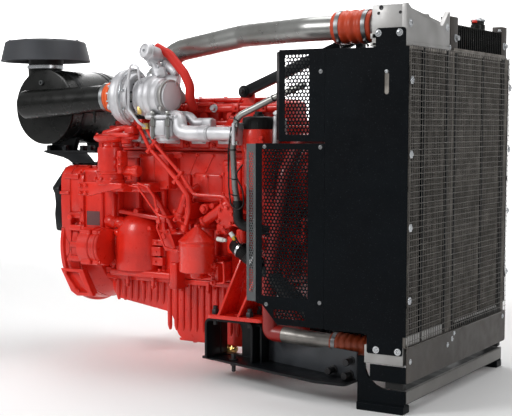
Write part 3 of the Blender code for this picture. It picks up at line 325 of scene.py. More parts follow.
class Piece:
    """One named piece. Shapes are added where they lie in the model, and make() turns it into an object."""

    def __init__(self, name):
        self.name = name
        self.mesh = bmesh.new()

    def take(self, form, place=None):
        """Adds a shape, and lets go of it."""
        if place is not None:
            form.transform(place)
        data = bpy.data.meshes.new("shape")
        form.to_mesh(data)
        form.free()
        self.mesh.from_mesh(data)
        bpy.data.meshes.remove(data)
        return self

    def block(self, low, high, bevel=0.002, steps=2, place=None):
        """A box between two corners, with rounded edges."""
        low, high = Vector(low), Vector(high)
        form = bmesh.new()
        bmesh.ops.create_cube(form, size=1.0)
        bmesh.ops.scale(form, vec=high - low, verts=form.verts)
        bmesh.ops.translate(form, vec=(low + high) / 2, verts=form.verts)
        if bevel:
            bmesh.ops.bevel(form, geom=form.edges[:], offset=bevel, segments=steps, profile=0.5,
                            affect="EDGES")
        return self.take(form, place)

    def bar(self, start, end, width, height, bevel=0.002, roll=0.0):
        """A straight bar between two points. width is level and height is upright before it rolls."""
        start, end = Vector(start), Vector(end)
        run = end - start
        turn = run.to_track_quat("X", "Z").to_matrix().to_4x4() @ Matrix.Rotation(math.radians(roll), 4, "X")
        low, high = (0, -width / 2, -height / 2), (run.length, width / 2, height / 2)
        return self.block(low, high, bevel, 2, Matrix.Translation(start) @ turn)

    def turned(self, centre, axis, profile, sides=40, closed=False, place=None):
        """A turned shape. The profile holds (radius, place along the axis)."""
        form = bmesh.new()
        rings = []
        for radius, along in profile:
            if radius < 1e-6:
                rings.append([form.verts.new((0, 0, along))])
                continue
            ring = []
            for side in range(sides):
                angle = 2 * math.pi * side / sides
                ring.append(form.verts.new((radius * math.cos(angle), radius * math.sin(angle), along)))
            rings.append(ring)
        pairs = list(zip(rings, rings[1:]))
        if closed:
            pairs.append((rings[-1], rings[0]))
        for first, second in pairs:
            for side in range(sides):
                after = (side + 1) % sides
                if len(first) == 1 and len(second) == 1:
                    break
                if len(first) == 1:
                    form.faces.new((first[0], second[side], second[after]))
                elif len(second) == 1:
                    form.faces.new((first[side], first[after], second[0]))
                else:
                    form.faces.new((first[side], first[after], second[after], second[side]))
        bmesh.ops.recalc_face_normals(form, faces=form.faces)
        return self.take(form, place if place is not None else Matrix.Translation(centre) @ towards(axis))

    def drum(self, centre, axis, length, radius, edge=0.001, sides=32, end_radius=None):
        """A cylinder or a cone from a point, with softened rims."""
        end = radius if end_radius is None else end_radius
        edge = min(edge, length / 3, radius / 3)
        profile = [(0, 0), (radius - edge, 0), (radius, edge), (end, length - edge), (end - edge, length),
                   (0, length)]
        return self.turned(centre, axis, profile, sides)

    def sleeve(self, centre, axis, length, radius, inner, edge=0.001, sides=40):
        """A ring or a sleeve with softened rims."""
        edge = min(edge, length / 3, (radius - inner) / 3)
        profile = [(inner, 0), (radius - edge, 0), (radius, edge), (radius, length - edge),
                   (radius - edge, length)]
        profile.append((inner, length))
        return self.turned(centre, axis, profile, sides, closed=True)

    def tube(self, route, radius, sides=14):
        """A round bar along a route. radius is a number, one for each point, or a (first, last) pair."""
        route = [Vector(p) for p in route]
        if isinstance(radius, list):
            radii = radius
        else:
            first, last = radius if isinstance(radius, tuple) else (radius, radius)
            radii = [first + (last - first) * step / (len(route) - 1) for step in range(len(route))]
        form = bmesh.new()
        normal, rings, before = None, [], None
        for number, point in enumerate(route):
            ahead = route[min(number + 1, len(route) - 1)] - route[max(number - 1, 0)]
            ahead.normalize()
            if normal is None:
                normal = ahead.orthogonal().normalized()
            else:
                normal = before.rotation_difference(ahead) @ normal
            before = ahead
            other = ahead.cross(normal)
            ring = []
            for side in range(sides):
                angle = 2 * math.pi * side / sides
                out = normal * math.cos(angle) + other * math.sin(angle)
                ring.append(form.verts.new(point + out * radii[number]))
            rings.append(ring)
        for first, second in zip(rings, rings[1:]):
            for side in range(sides):
                after = (side + 1) % sides
                form.faces.new((first[side], first[after], second[after], second[side]))
        form.faces.new(list(reversed(rings[0])))
        form.faces.new(rings[-1])
        bmesh.ops.recalc_face_normals(form, faces=form.faces)
        return self.take(form)

    def plate(self, plane, low, high, outline, holes=(), bevel=0.0008, steps=1, place=None):
        """A flat shape, drawn across the plane's axis and thick from low to high along it."""
        form = bmesh.new()
        for loop in (outline, *holes):
            corners = [form.verts.new((u, v, low)) for u, v in loop]
            for first, second in zip(corners, corners[1:] + corners[:1]):
                form.edges.new((first, second))
        bmesh.ops.triangle_fill(form, edges=form.edges[:], use_beauty=True, use_dissolve=False)
        grown = bmesh.ops.extrude_face_region(form, geom=form.faces[:], use_keep_orig=True)
        lifted = [item for item in grown["geom"] if isinstance(item, bmesh.types.BMVert)]
        bmesh.ops.translate(form, vec=(0, 0, high - low), verts=lifted)
        bmesh.ops.recalc_face_normals(form, faces=form.faces)
        if bevel:
            sharp = math.radians(60)
            rims = [e for e in form.edges if len(e.link_faces) == 2 and e.calc_face_angle(0) > sharp]
            bmesh.ops.bevel(form, geom=rims, offset=bevel, segments=steps, profile=0.5, affect="EDGES",
                            clamp_overlap=True)
        form.transform(PLANES[plane])
        bmesh.ops.recalc_face_normals(form, faces=form.faces)
        return self.take(form, place)

    def bolt(self, at, axis, size=0.008, height=None, washer=True):
        """A hexagon head on a washer. size is the head's radius over its corners."""
        height = height or size * 1.1
        turn = Matrix.Translation(at) @ towards(axis)
        foot = 0.0
        if washer:
            foot = size * 0.22
            ring = [(0, 0), (size * 1.40, 0), (size * 1.45, foot * 0.3), (size * 1.40, foot), (0, foot)]
            self.turned(None, None, ring, 20, place=turn)
        head = [(0, foot), (size, foot), (size, foot + height * 0.8), (size * 0.86, foot + height),
                (0, foot + height)]
        return self.turned(None, None, head, 6, place=turn)

    def screw(self, at, axis, size=0.008):
        """A round button head with a socket in it, on a washer."""
        turn = Matrix.Translation(at) @ towards(axis)
        ring = [(0, 0), (size * 1.5, 0), (size * 1.55, size * 0.08), (size * 1.5, size * 0.18),
                (0, size * 0.18)]
        self.turned(None, None, ring, 20, place=turn)
        head = [(size, size * 0.15), (size * 0.97, size * 0.40), (size * 0.75, size * 0.66),
                (size * 0.45, size * 0.72)]
        head += [(size * 0.42, size * 0.35), (0, size * 0.35)]
        return self.turned(None, None, head, 18, place=turn)

    def clamp(self, centre, axis, radius, width=0.013, tightener=0.0):
        """A band clamp with its bolt. tightener is where that sits, in degrees around the band."""
        start = Vector(centre)
        turn = Matrix.Translation(start) @ towards(axis)
        band = [(radius, -width / 2), (radius + 0.0012, -width / 2), (radius + 0.0016, 0)]
        band += [(radius + 0.0012, width / 2), (radius, width / 2)]
        self.turned(None, None, band, 40, closed=True, place=turn)
        side = turn @ Matrix.Rotation(math.radians(tightener), 4, "Z")
        self.block((radius, -0.013, -0.0055), (radius + 0.010, 0.004, 0.0055), 0.0015, 1, side)
        along = side @ Matrix.Translation((radius + 0.0055, 0.004, 0)) @ towards((0, 1, 0))
        self.turned(None, None, [(0, 0), (0.003, 0), (0.003, 0.018), (0.0055, 0.018), (0.0055, 0.024),
                                 (0, 0.024)],
                    6, place=along)
        return self

    def make(self, material, smooth=38.0):
        data = bpy.data.meshes.new(self.name)
        self.mesh.to_mesh(data)
        self.mesh.free()
        data.shade_smooth()
        data.set_sharp_from_angle(angle=math.radians(smooth))
        data.materials.append(material)
        obj = bpy.data.objects.new(self.name, data)
        bpy.context.scene.collection.objects.link(obj)
        return obj

    def done(self, material, slot, *stands_for, body="unit"):
        """Finishes the piece: its material, what it stands for and what it rides on. The slot is not used."""
        obj = self.make(material)
        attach(obj, body)
        if stands_for:
            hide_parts(*stands_for)
        return obj


def repaint(material, *nodes):
    """Gives CAD nodes that keep their shape a finish."""
    for name in nodes:
        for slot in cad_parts[name].material_slots:
            slot.material = material


add_camera()
add_studio()


# --- cooling pack -------------------------------------------------------------

SIDE = -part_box("side_panel_right")[0].y  # half width over the side panels
GRILLE_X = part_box("front_grille")[0].x
CORE_LOW, CORE_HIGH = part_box("charge_cooler_core")
RAD_LOW, RAD_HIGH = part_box("radiator_core")


def side_panels():
    """The flat side sheets, with their screws and the pill-shaped sight slot."""
    low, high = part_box("side_panel_right")
    shoulder, foot = 1.323, 0.286
    outline = arc((low.x + 0.006, foot + 0.006), 0.006, 180, 270, 3) + [(0.948, foot)]
    outline += arc((0.956, low.z + 0.008), 0.008, 180, 270, 4)
    outline += arc((1.082, low.z + 0.008), 0.008, 270, 360, 4)
    outline += [(1.090, foot), (high.x, foot), (high.x, shoulder), (1.090, shoulder)]
    outline += arc((1.078, high.z - 0.012), 0.012, 0, 90, 4) + arc((0.985, high.z - 0.012), 0.012, 90, 180, 4)
    outline += [(0.973, shoulder), (low.x, shoulder)]
    slot = arc((1.017, 1.226), 0.009, 0, 180, 6) + arc((1.017, 1.164), 0.009, 180, 360, 6)
    for side, name in ((-1, "right"), (1, "left")):
        near, far = sorted((side * SIDE, side * (SIDE - 0.003)))
        sheet = Piece(f"side_sheet_{name}")
        sheet.plate("Y", near, far, outline, [slot])
        for z in (1.245, 0.820, 0.402):
            sheet.block((1.0995, near, z - 0.010), (high.x + 0.0015, far, z + 0.010), 0.001, 1)
        sheet.done(PANEL, "black_paint", f"side_panel_{name}")
        lining = Piece(f"sight_slot_lining_{name}")
        lining.plate("Y", *sorted((side * (SIDE - 0.006), side * (SIDE - 0.004))),
                     rounded((1.003, 1.148), (1.031, 1.242), 0.012))
        lining.done(MACHINED, "bare_aluminium")
        screws = Piece(f"side_screws_{name}")
        face = side * SIDE
        axis = "-Y" if side < 0 else "Y"
        for x, z in ((0.983, 1.371), (1.066, 1.371), (0.986, 0.231), (1.072, 0.231)):
            screws.screw((x, face, z), axis, 0.0085)
        screws.screw((1.017, face + side * 0.001, 1.236), axis, 0.0045)
        screws.done(ZINC, "zinc_steel")


def cooler_core(node, tubes, fin_gap):
    """Upright flat tubes with a folded fin strip between each two of them."""
    low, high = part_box(node)
    pitch = (high.y - low.y) / tubes
    half_tube = 0.0008
    bars = Piece(node + "_tubes")
    for number in range(tubes + 1):
        y = low.y + number * pitch
        bars.block((low.x, y - half_tube, low.z), (high.x, y + half_tube, high.z), 0.0008, 1)
    bars.block((low.x, low.y, low.z), (high.x + 0.004, high.y, low.z + 0.010), 0.002)
    bars.block((low.x, low.y, high.z - 0.010), (high.x + 0.004, high.y, high.z), 0.002)
    bars.done(CORE, "core_metal", node)
    fins = Piece(node + "_fins")
    folds = int((high.z - low.z) / fin_gap)
    for number in range(tubes):
        left = low.y + number * pitch + half_tube
        right = left + pitch - 2 * half_tube
        front = high.x - 0.0012
        strip = []
        for fold in range(folds + 1):
            y = left if fold % 2 else right
            z = low.z + fold * fin_gap
            strip.append((fins.mesh.verts.new((front, y, z)), fins.mesh.verts.new((front - 0.030, y, z))))
        for first, second in zip(strip, strip[1:]):
            fins.mesh.faces.new((first[0], first[1], second[1], second[0]))
    fins.block((low.x, low.y + 0.001, low.z), (low.x + 0.040, high.y - 0.001, high.z), 0)
    # The near-black fins and the dark block behind them are painted shade between the tubes.
    fins.done(FIN_PAINTED_SHADE, "core_metal")


def stone_guard():
    """The welded wire mesh in front of the cores, and the screws and washers that hold it."""
    low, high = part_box("front_grille")
    pitch, wire = 0.0215, 0.0013
    half = SIDE - 0.006
    upright = round(2 * half / pitch)
    rows = round((high.z - low.z) / pitch)
    mesh = Piece("stone_guard_mesh")
    for number in range(upright + 1):
        y = -half + 2 * half * number / upright
        route = []
        for row in range(2 * rows + 1):
            z = low.z + (high.z - low.z) * row / (2 * rows)
            sway = 0.0007 * math.sin(row * 2.1 + number * 1.7)
            route.append((low.x + 0.0025, y + sway, z))
        mesh.tube(route, wire, 6)
    for row in range(rows + 1):
        z = low.z + (high.z - low.z) * row / rows
        route = []
        for number in range(2 * upright + 1):
            y = -half + 2 * half * number / (2 * upright)
            sway = 0.0008 * math.sin(number * 1.3 + row * 2.3)
            route.append((low.x + 0.0052, y, min(z + sway, high.z)))
        mesh.tube(route, wire, 6)
    mesh.done(WIRE, "dark_steel", "front_grille")
    bolts = Piece("stone_guard_screws")
    for y in (-half + 0.004, half - 0.002):
        for z in (1.204, 0.943, 0.681, 0.419):
            bolts.turned((low.x + 0.006, y, z), "X",
                         [(0, 0), (0.0155, 0), (0.0160, 0.001), (0.0150, 0.0022), (0, 0.0022)], 6)
            bolts.screw((low.x + 0.0075, y, z), "X", 0.0078)
    bolts.done(ZINC, "zinc_steel")


def core_frame():
    """The edge strips around the two cores, and dark strips that are painted shade in the gap between them
    and in bands across the cores' face.
    """
    frame_piece = Piece("core_edge_strips")
    front = CORE_HIGH.x + 0.006
    for y0, y1 in ((-SIDE + 0.0035, CORE_LOW.y + 0.012), (RAD_HIGH.y - 0.010, SIDE - 0.0035)):
        frame_piece.block((CORE_LOW.x, y0, CORE_LOW.z), (front, y1, CORE_HIGH.z), 0.001)
    for y in (CORE_HIGH.y - 0.002, RAD_LOW.y - 0.004):
        frame_piece.block((CORE_LOW.x, y, CORE_LOW.z), (front, y + 0.006, CORE_HIGH.z), 0.001)
    frame_piece.done(CORE, "core_metal")
    gap = Piece("core_gap_painted_shade")
    gap.block((CORE_LOW.x, CORE_HIGH.y + 0.004, CORE_LOW.z), (front - 0.02, RAD_LOW.y - 0.004, CORE_HIGH.z),
              0.001)
    for middle, width in ((-0.370, 0.013), (-0.146, 0.024), (-0.061, 0.026), (0.232, 0.013), (0.472, 0.048)):
        gap.block((front - 0.012, middle - width / 2, CORE_LOW.z),
                  (front - 0.001, middle + width / 2, CORE_HIGH.z), 0.001)
    gap.block((front - 0.012, RAD_LOW.y, CORE_LOW.z), (front - 0.0005, RAD_HIGH.y, 0.272), 0.001)
    # These dark strips are painted shade, in the gap between the cores and in bands across their face.
    gap.done(PANEL, "black_rubber")
    header = Piece("core_headers")
    header.block((CORE_LOW.x, CORE_LOW.y + 0.012, CORE_LOW.z), (front - 0.001, -0.162, 0.284), 0.001)
    teeth = 48
    for number in range(teeth):
        y = -0.040 + 0.480 * (number + 0.5) / teeth
        header.block((front - 0.006, y - 0.0032, 0.271), (front + 0.0002, y + 0.0032, 0.279), 0.0005, 1)
    header.done(MACHINED, "core_metal")


def charge_air_tanks():
    """The cast upper tank with its machined ends and notched front, and the plain lower tank."""
    low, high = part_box("charge_cooler_top_tank")
    stub_x = 0.955
    tank = Piece("charge_air_top_tank")
    roof = [(low.y, low.z), (high.y, low.z), (high.y, 1.470), (high.y - 0.010, 1.474), (-0.186, 1.419)]
    roof += [(-0.200, 1.415), (-0.452, 1.446), (low.y + 0.010, high.z), (low.y, high.z - 0.003)]
    shallow = [(low.y, low.z), (high.y, low.z), (high.y, 1.415), (-0.150, 1.432),
               (low.y + 0.010, high.z - 0.002)]
    shallow.append((low.y, high.z - 0.004))
    tank.plate("X", stub_x, high.x - 0.018, shallow, (), 0.004, 2)
    tank.plate("X", high.x - 0.020, high.x, roof, (), 0.002, 2)
    tank.block((stub_x - 0.006, low.y, low.z), (high.x + 0.004, high.y, low.z + 0.014), 0.002)
    for y in (-0.385, -0.245):
        tank.drum((1.035, y, 1.400), "Z", 0.058, 0.024, 0.004)
    tank.drum((low.x, -0.400, 1.408), "X", 0.085, 0.049, 0.002, 36)
    tank.block((stub_x - 0.006, low.y, 1.352), (stub_x + 0.020, low.y + 0.050, 1.372), 0.003)
    tank.done(MACHINED, "bare_aluminium", "charge_cooler_top_tank")
    marks = Piece("top_tank_holes")
    for x, z, size in ((0.992, 1.460, 0.0075), (0.982, 1.441, 0.0050), (1.066, 1.441, 0.0050)):
        marks.turned((x, low.y - 0.0004, z), "-Y", [(0, -0.0004), (size * 0.8, 0), (size, 0.0008),
                                                    (size * 1.15, 0)], 20)
    marks.done(DARK_STEEL, "dark_steel")
    bolts = Piece("top_tank_bolts")
    bolts.screw((high.x, -0.486, 1.405), "X", 0.010)
    bolts.screw((high.x, -0.148, 1.412), "X", 0.010)
    bolts.screw((high.x + 0.003, -0.124, 1.340), "X", 0.006)
    bolts.done(ZINC, "zinc_steel")
    low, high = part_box("charge_cooler_bottom_tank")
    lower = Piece("charge_air_bottom_tank")
    lower.block((0.9365, low.y, 0.178), high, 0.003)
    lower.drum((low.x, -0.350, 0.205), "X", 0.055, 0.029, 0.002, 32)
    lower.done(MACHINED, "bare_aluminium", "charge_cooler_bottom_tank")


def radiator_tanks():
    """The moulded upper tank, ribbed all round, between its two mounting angles, and the lower tank."""
    low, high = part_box("radiator_top_tank")
    near, far, top = -0.090, 0.480, 1.435
    tank = Piece("radiator_upper_tank")
    tank.block((0.955, near + 0.004, low.z), (1.084, far - 0.004, top - 0.004), 0.010, 3)
    ribs = 26
    for number in range(ribs + 1):
        y = near + 0.006 + (far - near - 0.012) * number / ribs
        tank.block((0.951, y - 0.0016, low.z), (1.091, y + 0.0016, top - 0.003), 0.0012, 1)
    tank.block((0.950, near, low.z), (1.094, far, low.z + 0.012), 0.002)
    tank.drum((1.035, 0.320, top - 0.010), "Z", 0.034, 0.030, 0.002)
    tank.done(MOULDED, "black_paint", "radiator_top_tank")
    hem = Piece("radiator_crimped_hem")
    teeth = 44
    for number in range(teeth):
        y = near + (far - near) * (number + 0.5) / teeth
        hem.block((1.0945, y - 0.0042, low.z - 0.004), (1.0985, y + 0.0042, low.z + 0.014), 0.001, 1)
    hem.block((1.092, near, low.z - 0.006), (1.0965, far, low.z + 0.006), 0.001, 1)
    hem.done(CORE, "core_metal")
    angles = Piece("radiator_mounting_angles")
    posts = ((-0.112, -0.040), (0.452, 0.512))
    for left, right in posts:
        angles.block((1.0885, left, low.z - 0.010), (1.0925, right, high.z - 0.002), 0.001)
        angles.block((1.050, left, low.z), (1.0905, left + 0.004, high.z - 0.002), 0.001)
    angles.done(COVER, "black_paint")
    bolts = Piece("angle_bolts")
    for y in (-0.062, 0.482):
        bolts.bolt((1.0925, y, 1.378), "X", 0.011)
        bolts.drum((1.0925, y, 1.378), "X", 0.016, 0.006)
    bolts.bolt((1.086, 0.440, 1.437), "Z", 0.007)
    bolts.done(ZINC, "zinc_steel")
    lower = Piece("radiator_lower_tank")
    low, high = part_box("radiator_bottom_tank")
    lower.block(low, high, 0.006, 3)
    for number in range(ribs):
        y = low.y + 0.012 + (high.y - low.y - 0.024) * number / (ribs - 1)
        lower.block((low.x - 0.001, y - 0.0016, low.z - 0.001), (high.x + 0.001, y + 0.0016, high.z), 0.001,
                    1)
    lower.done(MOULDED, "black_paint", "radiator_bottom_tank")


def filler_cap():
    """The pressure cap: a pressed disc with a finger grip, and a small red relief tab."""
    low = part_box("radiator_cap")[0]
    x, y = 1.035, 0.320
    cap = Piece("pressure_cap")
    profile = [(0.022, 0), (0.0245, 0.001), (0.0250, 0.011), (0.0290, 0.013), (0.0300, 0.017),
               (0.0280, 0.020)]
    profile += [(0.018, 0.021), (0.015, 0.0255), (0.004, 0.0265), (0, 0.0265)]
    cap.turned((x, y, low.z), "Z", profile, 40)
    for number in range(14):
        turn = Matrix.Translation((x, y, low.z)) @ Matrix.Rotation(2 * math.pi * number / 14, 4, "Z")
        cap.block((0.0270, -0.0022, 0.011), (0.0312, 0.0022, 0.019), 0.001, 1, turn)
    cap.done(ZINC, "dark_steel", "radiator_cap", body="radiator_cap")
    skirt = Piece("pressure_cap_skirt")
    skirt.turned((x, y, low.z), "Z", [(0.0255, 0.0005), (0.0262, 0.001), (0.0262, 0.012), (0.0255, 0.0125)],
                 40)
    skirt.done(RUBBER, "black_rubber", body="radiator_cap")
    tab = Piece("relief_tab")
    tab.block((x - 0.012, y - 0.036, low.z + 0.004), (x + 0.008, y - 0.024, low.z + 0.016), 0.003, 3)
    tab.done(RED, "red_paint", body="radiator_cap")


def lower_cover():
    """The plate below the cores with its folded sides and its row of bolts."""
    low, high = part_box("lower_cover_plate")
    outline = rounded((-SIDE, low.z), (SIDE, high.z), 0.012)
    cover = Piece("lower_front_cover")
    cover.plate("X", GRILLE_X, GRILLE_X + 0.003, outline, (), 0.0008)
    cover.block((GRILLE_X - 0.010, -SIDE + 0.004, high.z - 0.004),
                (GRILLE_X + 0.0045, SIDE - 0.004, high.z + 0.001), 0.001)
    cover.done(COVER, "dark_steel", "lower_cover_plate")
    sides = Piece("lower_cover_sides")
    for side in (-1, 1):
        near, far = sorted((side * SIDE, side * (SIDE - 0.003)))
        sides.block((low.x, near, low.z), (GRILLE_X + 0.001, far, 0.177), 0.001)
    sides.done(PANEL, "black_paint")
    bolts = Piece("lower_cover_bolts")
    spots = ((-0.490, 0.194), (-0.136, 0.200), (-0.092, 0.217), (-0.070, 0.237), (0.485, 0.226))
    for y, z in spots:
        bolts.screw((GRILLE_X + 0.003, y, z), "X", 0.0068)
    bolts.done(ZINC, "zinc_steel")
    support = Piece("cooler_support_block")
    support.block((1.020, -0.512, 0.090), (1.090, -0.480, 0.118), 0.003)
    support.block((1.020, 0.480, 0.090), (1.090, 0.512, 0.118), 0.003)
    support.done(RUBBER, "black_rubber")


def honeycomb(piece, plane_y, inward, low, high, pitch, bar):
    """A perforated field between two corners in X and Z: rows of hexagon holes cut through the sheet."""
    thick = 0.0016
    outer, inner = pitch / math.sqrt(3), (pitch - bar) / math.sqrt(3)
    row_step = outer * 1.5
    rows = int((high[1] - low[1] - 2 * outer) / row_step) + 1
    across = int((high[0] - low[0] - pitch * 1.5) / pitch) + 1
    start_x = low[0] + (high[0] - low[0] - (across - 0.5) * pitch) / 2 + pitch * 0.25
    start_z = low[1] + (high[1] - low[1] - (rows - 1) * row_step) / 2
    angles = [math.radians(90 + 60 * corner) for corner in range(6)]
    for row in range(rows):
        for column in range(across):
            x = start_x + column * pitch + (pitch / 2 if row % 2 else 0)
            z = start_z + row * row_step
            loops = []
            for radius, depth in ((outer, 0), (inner, 0), (inner, thick), (outer, thick)):
                y = plane_y + inward * depth
                loops.append([piece.mesh.verts.new((x + radius * math.cos(a), y,
                                                    z + radius * math.sin(a))) for a in angles])
            for first, second in zip(loops, loops[1:]):
                for corner in range(6):
                    after = (corner + 1) % 6
                    piece.mesh.faces.new((first[corner], first[after], second[after], second[corner]))
    return (start_x - pitch / 2, start_z - outer), (start_x + across * pitch,
                                                    start_z + (rows - 1) * row_step + outer)


def belt_guards():
    """The fan and belt guards: a plain border around perforated sheet, with a strip folded inwards."""
    hole, bar = 0.0150, 0.0058
    for side, name in ((-1, "right"), (1, "left")):
        face = side * SIDE
        inside = -side
        near, far = sorted((face, face + inside * 0.003))
        holes = {
            "upper": (rectangle((0.575, 0.985), (0.7695, 1.326)), (0.600, 1.010), (0.704, 1.306)),
            "lower": ([(0.472, 0.366), (0.500, 0.360), (0.568, 0.287), (0.7695, 0.287), (0.7695, 0.978),
                       (0.472, 0.978)],
                      (0.500, 0.395), (0.700, 0.955)),
        }
        border = Piece(f"guard_border_{name}")
        sheet = Piece(f"guard_perforated_{name}")
        for outline, low, high in holes.values():
            extra = []
            if low[1] < 0.5:
                extra.append(rectangle((0.552, 0.312), (0.690, 0.345)))
                honeycomb(sheet, face + inside * 0.0008, inside, (0.548, 0.306), (0.694, 0.351), hole, bar)
            border.plate("Y", near, far, outline, [rectangle(low, high), *extra], 0.0006)
            grown_low = (low[0] - 0.006, low[1] - 0.008)
            grown_high = (high[0] + 0.006, high[1] + 0.008)
            honeycomb(sheet, face + inside * 0.0008, inside, grown_low, grown_high, hole, bar)
        stands_for = ("upper_guard_right", "lower_guard_right") if side < 0 else ("fan_guard_left",)
        border.done(PANEL, "black_paint", *stands_for)
        sheet.done(PANEL, "black_paint")
        strip = Piece(f"guard_folded_strip_{name}")
        fold_at = Matrix.Translation((0.4735, face, 0)) @ Matrix.Rotation(math.radians(side * 12), 4, "Z")
        flat = Piece("strip")
        flat.plate("Y", 0, 0.0022, rectangle((-0.050, 0.369), (0, 0.976)),
                   [rectangle((-0.036, 0.405), (-0.014, 0.945))], 0.0005)
        honeycomb(flat, 0.0006, 1, (-0.042, 0.395), (-0.008, 0.955), 0.0110, 0.0034)
        if side > 0:
            flat.mesh.transform(Matrix.Scale(-1, 4, (0, 1, 0)))
        strip.take(flat.mesh, fold_at)
        upper = Piece("strip")
        upper.plate("Y", 0, 0.0022, rectangle((-0.040, 0.990), (0, 1.320)), (), 0.0005)
        if side > 0:
            upper.mesh.transform(Matrix.Scale(-1, 4, (0, 1, 0)))
        upper_at = Matrix.Translation((0.5765, face, 0)) @ Matrix.Rotation(math.radians(side * 45), 4, "Z")
        fold = Piece(f"guard_upper_fold_{name}")
        fold.take(upper.mesh, upper_at)
        fold.done(PANEL, "black_paint")
        # The near strip is grey, a painted highlight where its edge catches the light; the far strip stays
        # black.
        strip.done(GREY_COAT_AND_HIGHLIGHT if side < 0 else BLACK, "black_paint")
        screws = Piece(f"guard_screws_{name}")
        axis = "-Y" if side < 0 else "Y"
        for x, z in ((0.752, 1.242), (0.752, 0.965), (0.512, 0.965), (0.752, 0.385), (0.520, 0.362)):
            screws.screw((x, face, z), axis, 0.0052)
        screws.done(DULL_ZINC, "zinc_steel")


def fan_and_shroud():
    """The shroud box with its drawn ring, painted, and the moulded fan inside it."""
    repaint(BLACK, "fan_shroud")
    repaint(MOULDED, "fan")
    repaint(RED_CAST, "fan_hub", "coolant_pump", "crank_pulley", "tensioner_arm")
    repaint(DARK_STEEL, "tensioner_roller", "crankshaft", "flywheel")
    repaint(RUBBER, "drive_belt")


side_panels()
cooler_core("charge_cooler_core", 26, 0.0052)
cooler_core("radiator_core", 48, 0.0052)
core_frame()
stone_guard()
charge_air_tanks()
radiator_tanks()
filler_cap()
lower_cover()
belt_guards()
fan_and_shroud()


# --- engine -------------------------------------------------------------------

BLOCK_LOW, BLOCK_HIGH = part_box("cylinder_block")
FACE = BLOCK_LOW.y  # the block's near side
CRANK = Vector((0, 0, 0.500))
PTO = Vector((0, -0.298, 0.5135))  # the cover over the power take-off
BREATHER = Vector((-0.356, -0.360, 0))
CLEANER = Vector((0.098, -0.370, 0))
FILTER = Vector((0.342, -0.2835, 0))


def raised_pad(piece, low, high, out, bevel=0.006, steps=3):
    """A soft-edged raised panel on the block's near side, between two corners in X and Z."""
    piece.block((low[0], FACE - out, low[1]), (high[0], FACE + 0.03, high[1]), bevel, steps)


def dome(piece, at, radius, stretch=(1, 1, 1), sides=32):
    """A rounded lump of a casting."""
    profile = [(0, -radius)]
    profile += [(radius * math.cos(math.radians(a)), radius * math.sin(math.radians(a))) for a in range(-75,
            90, 15)]
    profile.append((0, radius))
    place = Matrix.Translation(at) @ Matrix.Diagonal((*stretch, 1))
    piece.turned(None, None, profile, sides, place=place)


def crankcase_barrel(piece, x, low, high, radius, out):
    """One of the bulges of the crankcase: an upright bell shape that narrows into a round shoulder."""
    height = high - low
    profile = [(0, low), (radius, low)]
    for share, width in ((0.05, 1.0), (0.40, 1.0), (0.55, 0.975), (0.68, 0.92), (0.79, 0.83), (0.88, 0.69),
                         (0.945, 0.50), (0.985, 0.26)):
        profile.append((radius * width, low + height * share))
    profile.append((0, high))
    stretch = Matrix.Diagonal((1, out / radius, 1, 1))
    piece.turned(None, None, profile, 64, place=Matrix.Translation((x, FACE + 0.012, 0)) @ stretch)


